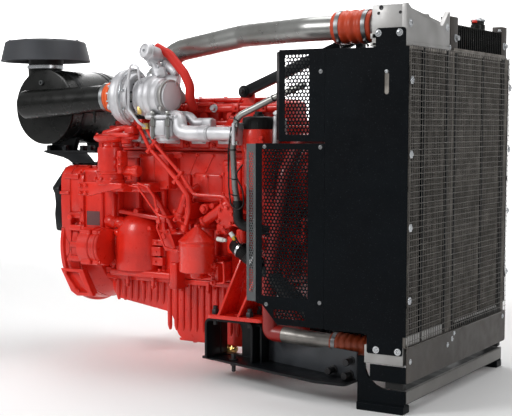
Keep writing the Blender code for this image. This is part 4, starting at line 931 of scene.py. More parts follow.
def engine_block():
    block = Piece("engine_block")
    block.block((BLOCK_LOW.x, FACE + 0.012, BLOCK_LOW.z), (BLOCK_HIGH.x, -FACE - 0.012, BLOCK_HIGH.z),
                0.010, 3)
    for side in (-1, 1):
        y0, y1 = sorted((side * 0.222, side * 0.18))
        block.block((BLOCK_LOW.x, y0, 0.903), (BLOCK_HIGH.x, y1, 0.934), 0.006)
        block.block((BLOCK_LOW.x, y0, 0.386), (BLOCK_HIGH.x, y1, 0.412), 0.006)
        for number in range(7):
            x = BLOCK_LOW.x + 0.045 + number * 0.137
            block.block((x - 0.010, side * 0.212 - 0.012, 0.41), (x + 0.010, side * 0.212 + 0.012, 0.905),
                        0.006, 2)
    crankcase_barrel(block, -0.325, 0.412, 0.664, 0.116, 0.096)
    crankcase_barrel(block, -0.115, 0.412, 0.600, 0.070, 0.030)
    crankcase_barrel(block, 0.020, 0.412, 0.640, 0.070, 0.040)
    crankcase_barrel(block, 0.275, 0.412, 0.655, 0.080, 0.065)
    block.block((-0.225, FACE - 0.036, 0.438), (-0.168, FACE + 0.02, 0.474), 0.003)
    block.block((-0.225, FACE - 0.040, 0.480), (-0.176, FACE + 0.02, 0.520), 0.003)
    block.block((-0.225, FACE - 0.034, 0.526), (-0.172, FACE + 0.02, 0.552), 0.003)
    block.block((-0.440, FACE - 0.062, 0.386), (-0.110, FACE + 0.02, 0.414), 0.007, 3)
    block.bar((-0.405, FACE - 0.020, 0.668), (-0.150, FACE - 0.020, 0.640), 0.040, 0.020, 0.008)
    block.bar((-0.425, FACE - 0.030, 0.745), (-0.428, FACE - 0.030, 0.632), 0.040, 0.016, 0.006)
    block.bar((-0.232, FACE - 0.014, 0.766), (-0.118, FACE - 0.014, 0.600), 0.036, 0.018, 0.006)
    for x, z, size in ((-0.442, 0.622, 0.040), (-0.396, 0.618, 0.034), (-0.408, 0.572, 0.024)):
        dome(block, (x, FACE - 0.030, z), size, (1, 1.0, 0.80))
    block.block((-0.105, FACE - 0.075, 0.346), (-0.066, FACE + 0.02, 0.462), 0.008, 3)
    block.drum((-0.310, FACE + 0.01, 0.672), "-Y", 0.050, 0.013, 0.003)
    block.drum((-0.230, FACE + 0.01, 0.600), "-Y", 0.060, 0.010, 0.003)
    for side in (-1, 1):
        raised = Piece("pads")
        raised_pad(raised, (-0.276, 0.772), (-0.122, 0.925), 0.050, 0.008)
        raised_pad(raised, (-0.262, 0.786), (-0.196, 0.915), 0.054, 0.004, 2)
        raised_pad(raised, (-0.084, 0.838), (0.176, 0.930), 0.024, 0.006)
        raised_pad(raised, (-0.010, 0.722), (0.148, 0.845), 0.040, 0.010)
        raised_pad(raised, (0.028, 0.735), (0.076, 0.836), 0.043, 0.004, 2)
        for start, end in (((-0.030, 0.845), (0.010, 0.925)), ((0.048, 0.845), (0.092, 0.925))):
            raised.bar((start[0], FACE - 0.020, start[1]), (end[0], FACE - 0.022, end[1]), 0.016, 0.010,
                       0.003)
        if side < 0:
            block.take(raised.mesh)
        else:
            block.take(raised.mesh, Matrix.Rotation(math.pi, 4, "Z"))
    block.done(RED_CAST, "red_paint", "cylinder_block")
    bolts = Piece("block_bolts")
    for number in range(6):
        bolts.bolt((-0.432 + number * 0.063, FACE - 0.040, 0.414), "Z", 0.0085, 0.010)
    for x, z in ((-0.268, 0.782), (-0.130, 0.782), (-0.268, 0.914), (-0.132, 0.914)):
        bolts.bolt((x, FACE - 0.050, z), "-Y", 0.0065)
    for x, z in ((0.002, 0.834), (0.138, 0.834), (0.002, 0.732), (0.138, 0.732), (0.070, 0.832)):
        bolts.bolt((x, FACE - 0.040, z), "-Y", 0.0062)
    for x, z in ((-0.070, 0.918), (0.010, 0.920), (0.090, 0.918), (0.162, 0.918), (0.160, 0.852)):
        bolts.bolt((x, FACE - 0.024, z), "-Y", 0.0075)
    for x, z in ((-0.205, 0.456), (-0.200, 0.500), (-0.198, 0.539)):
        bolts.bolt((x, FACE - 0.038, z), "-Y", 0.0048)
    for x in (-0.44, -0.30, -0.16, -0.02, 0.12, 0.26, 0.38):
        for z in (0.60, 0.70, 0.80):
            bolts.bolt((x, -FACE, z), "Y", 0.009)
    bolts.done(RED, "red_paint")


def oil_cooler_cover():
    """The long cover of the oil cooler, with a raised middle, edge bolts and the triangular plate."""
    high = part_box("oil_cooler_cover")[1]
    cover = Piece("oil_cooler_housing")
    cover.block((0.150, FACE - 0.055, 0.660), (high.x, FACE + 0.01, 0.905), 0.014, 3)
    cover.block((0.168, FACE - 0.066, 0.680), (high.x - 0.018, FACE + 0.01, 0.885), 0.010, 3)
    cover.block((0.060, FACE - 0.030, 0.655), (0.156, FACE + 0.01, 0.715), 0.008, 3)
    cover.plate("Y", FACE - 0.095, FACE - 0.088, [(-0.146, 0.600), (-0.090, 0.606), (-0.050, 0.515),
                                                  (-0.110, 0.513),
                                                 (-0.136, 0.556)], (), 0.002, 2)
    cover.block((-0.125, FACE - 0.090, 0.530), (-0.080, FACE + 0.01, 0.580), 0.004)
    cover.drum((-0.120, FACE - 0.101, 0.574), "Y", 0.012, 0.015, 0.003)
    cover.done(RED_CAST, "red_paint", "oil_cooler_cover")
    bolts = Piece("oil_cooler_bolts")
    for x, z in ((0.162, 0.675), (0.162, 0.760), (0.162, 0.845), (0.210, 0.895), (0.255, 0.895),
                 (0.258, 0.675)):
        bolts.bolt((x, FACE - 0.055, z), "-Y", 0.0082)
    for x, z in ((-0.134, 0.590), (-0.098, 0.594), (-0.064, 0.524), (-0.100, 0.524)):
        bolts.bolt((x, FACE - 0.095, z), "-Y", 0.0062)
    bolts.done(RED, "red_paint")


def arch(crown, wide, top, foot, bore):
    """An arched gear-case outline: a scaled crown on straight sides, cut out round the crank by the bore."""
    low = math.degrees(math.asin((foot - CRANK[2]) / bore))
    cut = arc((0, CRANK[2]), bore, 180 - low, low, 32)
    scaled = [(y * wide, 0.430 + (z - 0.430) * top) for y, z in crown]
    side = 0.262 * wide
    return cut + [(side, foot)] + scaled + [(-side, foot)]


def flywheel_housing():
    """The bell with its outer flange, the gear case on top, stiffening gussets, and the pads at the sides."""
    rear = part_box("flywheel_housing")[0].x
    housing = Piece("flywheel_bell_housing")
    profile = [(0.2556, rear), (0.276, rear), (0.2795, rear + 0.003), (0.2795, rear + 0.020),
               (0.268, rear + 0.026)]
    profile += [(0.262, rear + 0.060), (0.250, rear + 0.108), (0.205, rear + 0.165), (0.090, rear + 0.190)]
    profile += [(0.080, rear + 0.190), (0.080, rear + 0.136), (0.238, rear + 0.112), (0.2556, rear + 0.095)]
    housing.turned(CRANK, "X", profile, 96, closed=True)
    crown = [(0.270, 0.700)] + arc((0.190, 0.790), 0.078, 10, 90, 6)
    crown += arc((-0.190, 0.790), 0.078, 90, 170, 6) + [(-0.270, 0.700)]
    for x0, x1, wide, top, bore in (
            (rear + 0.004, rear + 0.056, 1.0, 1.0, 0.2556), (rear + 0.110, rear + 0.134, 1.005, 1.0, 0.232),
            (rear + 0.132, -0.4995, 0.86, 0.93, 0.082)):
        housing.plate("X", x0, x1, arch(crown, wide, top, 0.430, bore), (), 0.005, 2)
    housing.plate("X", rear + 0.054, rear + 0.112, arch(crown, 0.90, 0.96, 0.610, 0.252), (), 0.004, 2)
    shoulder = [(0.264, 0.700)] + arc((0.187, 0.788), 0.077, 10, 90, 6)
    shoulder += arc((-0.187, 0.788), 0.077, 90, 170, 6) + [(-0.264, 0.700)]
    housing.plate("X", rear + 0.050, rear + 0.116, arch(shoulder, 1.0, 1.0, 0.655, 0.252), (), 0.004, 2)
    housing.block((rear + 0.120, -0.256, 0.690), (rear + 0.212, 0.256, 0.855), 0.016, 3)
    for side in (-1, 1):
        for z in (0.643, 0.586, 0.509, 0.446):
            inner = max(0.225, math.sqrt(0.252 ** 2 - (z - CRANK.z) ** 2))
            y0, y1 = sorted((side * 0.271, side * inner))
            housing.block((rear + 0.050, y0, z - 0.013), (rear + 0.118, y1, z + 0.013), 0.004)
        y0, y1 = sorted((side * 0.276, side * 0.20))
        housing.block((rear, y0, 0.735), (rear + 0.054, y1, 0.750), 0.004)
        outline = [(-0.700, 0.402), (-0.572, 0.402), (-0.512, 0.286), (-0.606, 0.282), (-0.640, 0.300)]
        window = [(-0.676, 0.388), (-0.596, 0.388), (-0.546, 0.300), (-0.598, 0.298)]
        y0, y1 = sorted((side * 0.300, side * 0.276))
        housing.plate("Y", y0, y1, outline, [window], 0.003, 2)
        y0, y1 = sorted((side * 0.280, side * 0.252))
        housing.plate("Y", y0, y1, [(-0.690, 0.396), (-0.580, 0.396), (-0.520, 0.292), (-0.604, 0.290)], (),
                      0.004, 2)
    for number in range(12):
        angle = math.radians(15 + 30 * number)
        y, z = 0.265 * math.sin(angle), 0.500 + 0.265 * math.cos(angle)
        housing.turned((rear - 0.0002, y, z), "X", [(0.0052, 0), (0.0075, 0.0008), (0.0085, 0)], 12)
    housing.block((-0.700, -0.205, 0.850), (-0.560, 0.205, 0.868), 0.005)
    housing.block((-0.694, -0.272, 0.806), (-0.612, -0.255, 0.830), 0.004)
    for side in (-1, 1):
        y0, y1 = sorted((side * 0.259, side * 0.222))
        housing.block((-0.592, y0, 0.450), (-0.486, y1, 0.800), 0.012, 3)
    housing.block((-0.520, -0.244, 0.428), (-0.412, 0.200, 0.780), 0.026, 4)
    for x0, x1, radius in ((-0.540, -0.478, 0.086), (-0.480, -0.459, 0.080), (-0.461, -0.443, 0.084),
                           (-0.441, -0.429, 0.083)):
        housing.drum((x0, PTO.y, PTO.z), "X", x1 - x0, radius, 0.004, 64)
    housing.drum((-0.4445, PTO.y, PTO.z), "X", 0.005, 0.079, 0.001, 64)
    for angle in (50, 130, 230, 310):
        a = math.radians(angle)
        y, z = PTO.y + 0.086 * math.cos(a), PTO.z + 0.086 * math.sin(a)
        housing.drum((-0.530, y, z), "X", 0.056, 0.0130, 0.004, 24)
        housing.drum((-0.462, y, z), "X", 0.030, 0.0125, 0.004, 24)
    housing.done(RED_CAST, "red_paint", "flywheel_housing")
    bolts = Piece("flywheel_housing_bolts")
    for z in (0.838, 0.742, 0.668, 0.608, 0.536, 0.466):
        for side, axis in ((-1, "-Y"), (1, "Y")):
            bolts.bolt((rear + 0.122, side * 0.270, z), axis, 0.0075)
    for number in range(7):
        bolts.bolt((rear + 0.122, -0.18 + 0.06 * number, 0.868), "Z", 0.0078)
    for angle in (50, 130, 230, 310):
        a = math.radians(angle)
        bolts.bolt((-0.432, PTO.y + 0.086 * math.cos(a), PTO.z + 0.086 * math.sin(a)), "X", 0.0078, 0.007)
    bolts.drum((-0.655, -0.276, 0.634), "-Y", 0.012, 0.013, 0.003)
    for x, z in ((-0.676, 0.380), (-0.592, 0.384), (-0.538, 0.300), (-0.604, 0.296)):
        bolts.turned((x + 0.004, -0.3004, z + 0.006), "-Y",
                     [(0, -0.003), (0.005, -0.003), (0.0055, 0), (0.008, 0.0012), (0.0085, 0)], 16)
    bolts.done(RED, "red_paint")
    extras = Piece("timing_plug")
    extras.drum((-0.672, -0.190, 0.868), "Z", 0.014, 0.021, 0.003)
    extras.turned((-0.672, -0.190, 0.880), "Z", [(0, 0), (0.017, 0), (0.016, 0.010), (0, 0.012)], 6)
    extras.done(RUBBER, "black_rubber")
    tag = Piece("blank_rating_plate")
    tag.plate("Y", -0.2605, -0.2585, rounded((-0.575, 0.601), (-0.501, 0.664), 0.002), (), 0.0004)
    tag.done(PLATE, "dark_steel")
    strip = Piece("yellow_marker")
    strip.block((-0.628, -0.204, 0.8675), (-0.596, -0.188, 0.8715), 0.001)
    strip.done(YELLOW, "orange_rubber")


def flywheel_details():
    """What turns with the flywheel: the ring gear's teeth, the crank bolts and the coupling's holes."""
    rear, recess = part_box("flywheel")[0].x, 0.020
    rim = []
    for number in range(132):
        for part, radius in ((0.0, 0.2345), (0.34, 0.2345), (0.48, 0.2395), (0.86, 0.2395)):
            angle = (number + part) * math.tau / 132
            rim.append((radius * math.cos(angle), CRANK.z + radius * math.sin(angle)))
    ring = Piece("starter_ring_gear")
    ring.plate("X", -0.643, -0.622, rim, [arc((0, CRANK.z), 0.226, 0, 357, 119)], 0.0003)
    ring.done(DARK_STEEL, "dark_steel", body="crank")
    bolts = Piece("flywheel_bolts")
    for number in range(8):
        angle = number * math.tau / 8
        y, z = math.cos(angle), math.sin(angle)
        bolts.bolt((rear + recess, 0.060 * y, CRANK.z + 0.060 * z), "-X", 0.011)
        edge = [(0.0052, -0.0004), (0.0052, 0.0006), (0.0085, 0.0006), (0.0090, -0.0004)]
        bolts.turned((rear, 0.2125 * y, CRANK.z + 0.2125 * z), "-X", edge, 16, closed=True)
    bolts.done(ZINC, "zinc_steel", body="crank")


def sump():
    """The pan: shallow at the back and deep in front, with pressed upright flutes, on its bolted flange."""
    low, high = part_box("oil_sump")
    top = high.z
    pan = Piece("oil_pan")
    line = [(-0.495, top), (-0.495, 0.330)] + arc((-0.430, 0.330), 0.064, 180, 255, 5)
    line += [(-0.215, 0.234)] + arc((-0.205, 0.180), 0.052, 80, 20, 4)
    line += arc((-0.090, 0.164), 0.052, 185, 262, 5) + [(0.285, 0.112)]
    line += arc((0.285, 0.157), 0.045, 280, 350, 4)
    line += [(0.390, 0.330), (0.390, top)]
    pan.plate("Y", -0.181, 0.181, line, (), 0.022, 4)
    flutes = 24
    for number in range(flutes):
        x = -0.462 + number * 0.0355
        if x > 0.37:
            break
        floor_z = 0.262 if x < -0.20 else 0.150
        for side in (-1, 1):
            pan.tube([(x, side * 0.176, floor_z), (x, side * 0.179, floor_z + 0.02),
                      (x, side * 0.181, top - 0.02),
                      (x, side * 0.181, top)], [0.006, 0.0105, 0.0115, 0.0115], 12)
    pan.block((low.x, low.y, 0.362), (high.x, high.y, top), 0.005, 2)
    pan.block((-0.135, -0.170, 0.104), (0.300, 0.170, 0.116), 0.004)
    pan.done(RED_CAST, "red_paint", "oil_sump")
    bolts = Piece("sump_bolts")
    for number in range(12):
        x = low.x + 0.038 + number * 0.0765
        for side in (-1, 1):
            bolts.bolt((x, side * 0.207, 0.362), "-Z", 0.0075, 0.012)
    for x in (-0.366, -0.227, -0.076, 0.063, 0.205):
        bolts.drum((x, -0.236, 0.344), "Z", 0.040, 0.0085, 0.002, 20)
        bolts.bolt((x, -0.236, 0.344), "-Z", 0.0085, 0.008)
    bolts.bolt((-0.084, -0.120, 0.106), "-Z", 0.012, 0.012)
    bolts.done(RED, "red_paint")


def cylinder_head_and_covers():
    """The head with its ports, the rocker cover in six lobes, the rail along it, and the lifting eye."""
    low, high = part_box("cylinder_head")
    head = Piece("cylinder_head_casting")
    head.block(low, (high.x, high.y, high.z), 0.006, 2)
    for number in range(6):
        x = -0.400 + number * 0.134
        head.block((x - 0.052, low.y - 0.012, low.z + 0.012), (x + 0.052, low.y + 0.03, high.z - 0.012),
                   0.010, 3)
        head.drum((x, low.y + 0.01, 1.014), "-Y", 0.024, 0.030, 0.004, 28)
        head.drum((x + 0.067, low.y + 0.01, 0.962), "-Y", 0.020, 0.012, 0.003, 20)
    head.done(RED_CAST, "red_paint", "cylinder_head")
    cover_low, cover_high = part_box("valve_cover")
    cover = Piece("rocker_cover")
    cover.block((cover_low.x, -0.168, cover_low.z), (cover_high.x, 0.165, cover_low.z + 0.020), 0.004)
    for number in range(6):
        x = -0.400 + number * 0.134
        cover.block((x - 0.061, -0.150, 1.050), (x + 0.061, 0.150, 1.150), 0.018, 4)
        cover.block((x - 0.046, -0.110, 1.10), (x + 0.046, 0.110, 1.158), 0.012, 3)
        cover.drum((x, -0.155, 1.085), "-Y", 0.022, 0.020, 0.004, 24)
    cover.tube(bent([(-0.430, -0.178, 1.118), (0.380, -0.178, 1.118)], 0.02), 0.0165, 20)
    cover.tube(bent([(-0.430, -0.150, 1.152), (0.300, -0.150, 1.152), (0.360, -0.130, 1.120)], 0.03), 0.010,
               16)
    for number in range(6):
        x = -0.360 + number * 0.134
        cover.block((x - 0.018, -0.200, 1.100), (x + 0.018, -0.150, 1.136), 0.006, 3)
    cover.block((-0.030, -0.215, 1.126), (0.060, -0.110, 1.142), 0.006, 3)
    cover.drum((0.010, -0.165, 1.140), "Z", 0.020, 0.036, 0.005, 32)
    cover.done(RED_CAST, "red_paint", "valve_cover")
    bolts = Piece("cover_bolts")
    for number in range(6):
        x = -0.400 + number * 0.134
        for dx in (-0.048, 0.048):
            bolts.bolt((x + dx, -0.160, 1.066), "Z", 0.0072)
            bolts.bolt((x + dx, 0.156, 1.066), "Z", 0.0072)
        bolts.bolt((x, 0, 1.158), "Z", 0.010)
        bolts.bolt((x + 0.040, -0.200, 1.118), "-Y", 0.0065)
        bolts.bolt((x + 0.067, low.y - 0.010, 0.962), "-Y", 0.0080)
    bolts.done(RED, "red_paint")
    nut = Piece("silver_plug")
    nut.bolt((0.070, -0.196, 1.118), "-Y", 0.0125, 0.016)
    nut.done(ZINC, "zinc_steel")


def lifting_lug_and_stay():
    """The triangular lifting lug and the square stay that runs from it up to the shroud."""
    lug = Piece("lifting_lug")
    outline = [(0.100, 1.020), (0.290, 1.040), (0.262, 1.120)] + arc((0.234, 1.183), 0.024, 10, 150, 6)
    outline += [(0.160, 1.108)]
    window = [(0.142, 1.090), (0.160, 1.082), (0.212, 1.150), (0.200, 1.160)]
    lug.plate("Y", -0.1850, -0.1720, outline, [window], 0.002, 2)
    lug.plate("Y", -0.1850, -0.1720, [(0.120, 0.980), (0.225, 0.980), (0.225, 1.045), (0.120, 1.045)], (),
              0.002)
    lug.done(RED, "red_paint")
    start, end = Vector((0.240, -0.215, 1.184)), Vector((0.772, -0.215, 1.392))
    stay = Piece("stay")
    stay.bar(start, end - (end - start).normalized() * 0.02, 0.034, 0.041, 0.004)
    stay.drum((start.x, -0.240, start.z), "Y", 0.050, 0.0255, 0.006, 36)
    stay.drum((start.x, -0.246, start.z), "Y", 0.075, 0.012, 0.002, 24)
    stay.block((0.755, -0.245, 1.300), (0.7725, -0.185, 1.420), 0.003)
    stay.done(BLACK, "black_paint", "stay_bar")
    pin = Piece("stay_pin_head")
    pin.bolt((start.x, -0.246, start.z), "-Y", 0.010)
    pin.done(DARK_STEEL, "dark_steel")


def breather():
    """The crankcase breather: a can with a wide lid over an open neck, its cast base, and its valve."""
    can = Piece("breather")
    at = (BREATHER.x, BREATHER.y, 0)
    profile = [(0, 0.792), (0.060, 0.792), (0.064, 0.797), (0.064, 0.812), (0.058, 0.818), (0.0585, 0.836)]
    profile += [(0.0625, 0.840), (0.0625, 0.846), (0.056, 0.850), (0.0555, 0.944), (0.0535, 0.952),
                (0.044, 0.956)]
    profile += [(0.0425, 0.958), (0.0425, 0.972), (0.058, 0.976), (0.068, 0.984), (0.071, 0.990),
                (0.071, 0.998)]
    profile += [(0.066, 1.003), (0.040, 1.010), (0, 1.013)]
    can.turned(at, "Z", profile, 56)
    for number in range(6):
        turn = Matrix.Translation(at) @ Matrix.Rotation(math.radians(18 + 60 * number), 4, "Z")
        can.block((0.038, -0.004, 0.950), (0.052, 0.004, 0.980), 0.002, 1, turn)
    can.tube(bent([(BREATHER.x - 0.030, -0.362, 1.008), (BREATHER.x + 0.060, -0.358, 1.030),
                   (-0.232, -0.340, 1.046)], 0.02),
             (0.016, 0.013), 18)
    can.block((BREATHER.x - 0.020, -0.400, 0.996), (-0.226, -0.318, 1.016), 0.008, 3)
    can.block((-0.276, -0.372, 0.985), (-0.226, -0.322, 1.044), 0.010, 3)
    can.drum((BREATHER.x + 0.078, -0.352, 0.968), "Z", 0.040, 0.022, 0.005, 28)
    can.block((-0.300, -0.392, 0.840), (-0.276, -0.340, 0.940), 0.006, 3)
    can.block((-0.292, -0.402, 0.862), (-0.270, -0.380, 0.884), 0.004)
    can.block((-0.292, -0.402, 0.900), (-0.270, -0.380, 0.918), 0.004)
    can.block((-0.480, -0.398, 0.764), (-0.262, -0.215, 0.796), 0.010, 3)
    can.plate("Y", -0.415, -0.390, [(-0.495, 0.746), (-0.436, 0.744), (-0.260, 0.780), (-0.255, 0.802),
                                    (-0.440, 0.806),
                                    (-0.495, 0.800)], (), 0.005, 3)
    can.block((-0.420, -0.330, 0.760), (-0.170, -0.2105, 0.802), 0.010, 3)
    can.drum((-0.286, -0.355, 0.853), "X", 0.050, 0.0215, 0.004, 32)
    can.drum((-0.240, -0.355, 0.853), "X", 0.034, 0.0245, 0.004, 32)
    for number in range(12):
        turn = Matrix.Translation((-0.240, -0.355, 0.853)) @ Matrix.Rotation(math.radians(30 * number), 4,
                                                                             "X")
        can.block((0.004, -0.003, 0.021), (0.026, 0.003, 0.0265), 0.001, 1, turn)
    can.drum((-0.256, -0.355, 0.815), "Z", 0.030, 0.008, 0.002)
    can.done(RED_CAST, "red_paint", "breather_can")
    bolts = Piece("breather_bolts")
    for angle in (-150, -95, -50, 20):
        a = math.radians(angle)
        bolts.bolt((BREATHER.x + 0.066 * math.cos(a), BREATHER.y + 0.066 * math.sin(a), 0.812), "Z", 0.0075,
                   0.012)
    for x, z in ((-0.478, 0.788), (-0.478, 0.757), (-0.448, 0.790), (-0.448, 0.757)):
        bolts.bolt((x, -0.415, z), "-Y", 0.0082)
    for z in (0.873, 0.909):
        bolts.bolt((-0.281, -0.402, z), "-Y", 0.0060)
    for x in (-0.420, -0.360, -0.300):
        bolts.bolt((x, -0.352 + (x + 0.36) * 0.3, 1.006), "Z", 0.0058)
    bolts.done(RED, "red_paint")


def oil_cleaner():
    """The centrifugal cleaner: its can, the spun cone, and the cast loop beside it."""
    cleaner = Piece("oil_cleaner_can")
    at = (CLEANER.x, CLEANER.y, 0)
    profile = [(0, 0.446), (0.036, 0.442), (0.066, 0.442), (0.0725, 0.447), (0.0740, 0.456), (0.0740, 0.548)]
    profile += [(0.0755, 0.551), (0.0755, 0.556), (0.0740, 0.559), (0.0740, 0.566), (0.0770, 0.569),
                (0.0770, 0.574)]
    profile += [(0.0720, 0.578), (0.0160, 0.626), (0.0100, 0.630), (0, 0.631)]
    cleaner.turned(at, "Z", profile, 72)
    cleaner.turned((CLEANER.x, CLEANER.y, 0.627), "Z",
                   [(0, 0), (0.012, 0), (0.012, 0.010), (0.009, 0.013), (0, 0.013)], 6)
    cleaner.block((0.035, -0.310, 0.452), (0.160, FACE + 0.01, 0.500), 0.008, 3)
    cleaner.drum((CLEANER.x, CLEANER.y, 0.420), "Z", 0.030, 0.030, 0.006, 32)
    cleaner.bar((CLEANER.x, CLEANER.y, 0.425), (CLEANER.x + 0.010, -0.250, 0.425), 0.040, 0.024, 0.006)
    loop = [(0.156, -0.350, 0.484), (0.216, -0.350, 0.487), (0.218, -0.350, 0.402), (0.160, -0.350, 0.398)]
    cleaner.tube(bent([*loop, loop[0], loop[1]], 0.010), 0.0050, 10)
    for x, z in ((0.170, 0.473), (0.160, 0.442), (0.170, 0.403)):
        cleaner.drum((x, -0.366, z), "Y", 0.040, 0.0125, 0.004, 24)
        cleaner.bolt((x, -0.366, z), "-Y", 0.0080)
    cleaner.block((0.160, -0.345, 0.398), (0.184, FACE + 0.01, 0.480), 0.006, 3)
    cleaner.done(RED, "red_paint", "oil_cleaner")
    rotor = Piece("cleaner_rotor")
    rotor.turned(at, "Z", [(0, 0.462), (0.012, 0.462), (0.058, 0.468), (0.058, 0.545), (0.050, 0.555),
                           (0.012, 0.578),
                           (0, 0.580)], 40)
    for number in range(6):
        turn = Matrix.Translation(at) @ Matrix.Rotation(math.radians(60 * number), 4, "Z")
        rotor.block((0.040, -0.003, 0.470), (0.0585, 0.003, 0.545), 0.001, 1, turn)
    rotor.done(CAST, "red_paint", "oil_cleaner_rotor", body="oil_cleaner_rotor")


def fuel_filter():
    """The filter housing with its black moulded cap, hexagon and ribs, and the pale casting below it."""
    body = Piece("filter_housing")
    at = (FILTER.x, FILTER.y, 0)
    profile = [(0, 0.785), (0.048, 0.785), (0.060, 0.795), (0.066, 0.812), (0.066, 0.940), (0.070, 0.946),
               (0.0715, 0.952)]
    profile += [(0.0715, 1.020), (0.069, 1.026), (0.069, 1.030), (0, 1.030)]
    body.turned(at, "Z", profile, 64)
    body.drum((FILTER.x + 0.045, FILTER.y - 0.050, 0.975), (0.4, -1, 0), 0.018, 0.011, 0.003)
    body.drum((FILTER.x + 0.045, FILTER.y - 0.050, 0.995), (0.4, -1, 0), 0.014, 0.008, 0.003)
    body.block((0.300, -0.270, 0.850), (0.400, FACE + 0.01, 0.930), 0.008, 3)
    body.done(RED, "red_paint", "fuel_filter")
    cap = Piece("filter_cap")
    cap.turned(at, "Z", [(0, 1.026), (0.0640, 1.026), (0.0650, 1.031), (0.0650, 1.068), (0.0620, 1.077),
                         (0.050, 1.081),
                         (0.022, 1.083), (0.021, 1.090), (0, 1.090)], 56)
    for number in range(12):
        turn = Matrix.Translation(at) @ Matrix.Rotation(2 * math.pi * number / 12, 4, "Z")
        cap.block((0.0630, -0.0030, 1.033), (0.0662, 0.0030, 1.058), 0.0012, 1, turn)
    cap.turned((FILTER.x, FILTER.y, 1.088), "Z", [(0, 0), (0.018, 0), (0.018, 0.010), (0.015, 0.013),
                                                  (0, 0.013)], 6)
    cap.done(RUBBER, "black_rubber")
    bracket = Piece("filter_bracket")
    bracket.block((0.395, -0.275, 0.985), (0.440, -0.215, 1.075), 0.010, 3)
    bracket.block((0.330, -0.250, 1.000), (0.430, -0.2105, 1.020), 0.006, 3)
    bracket.tube([(0.418, -0.270, 1.080), (0.425, -0.285, 1.020), (0.418, -0.280, 0.975)], 0.014, 20)
    bracket.drum((0.420, -0.268, 1.088), (0.3, -0.5, 0.8), 0.012, 0.017, 0.003, 6)
    bracket.done(CAST, "bare_aluminium")


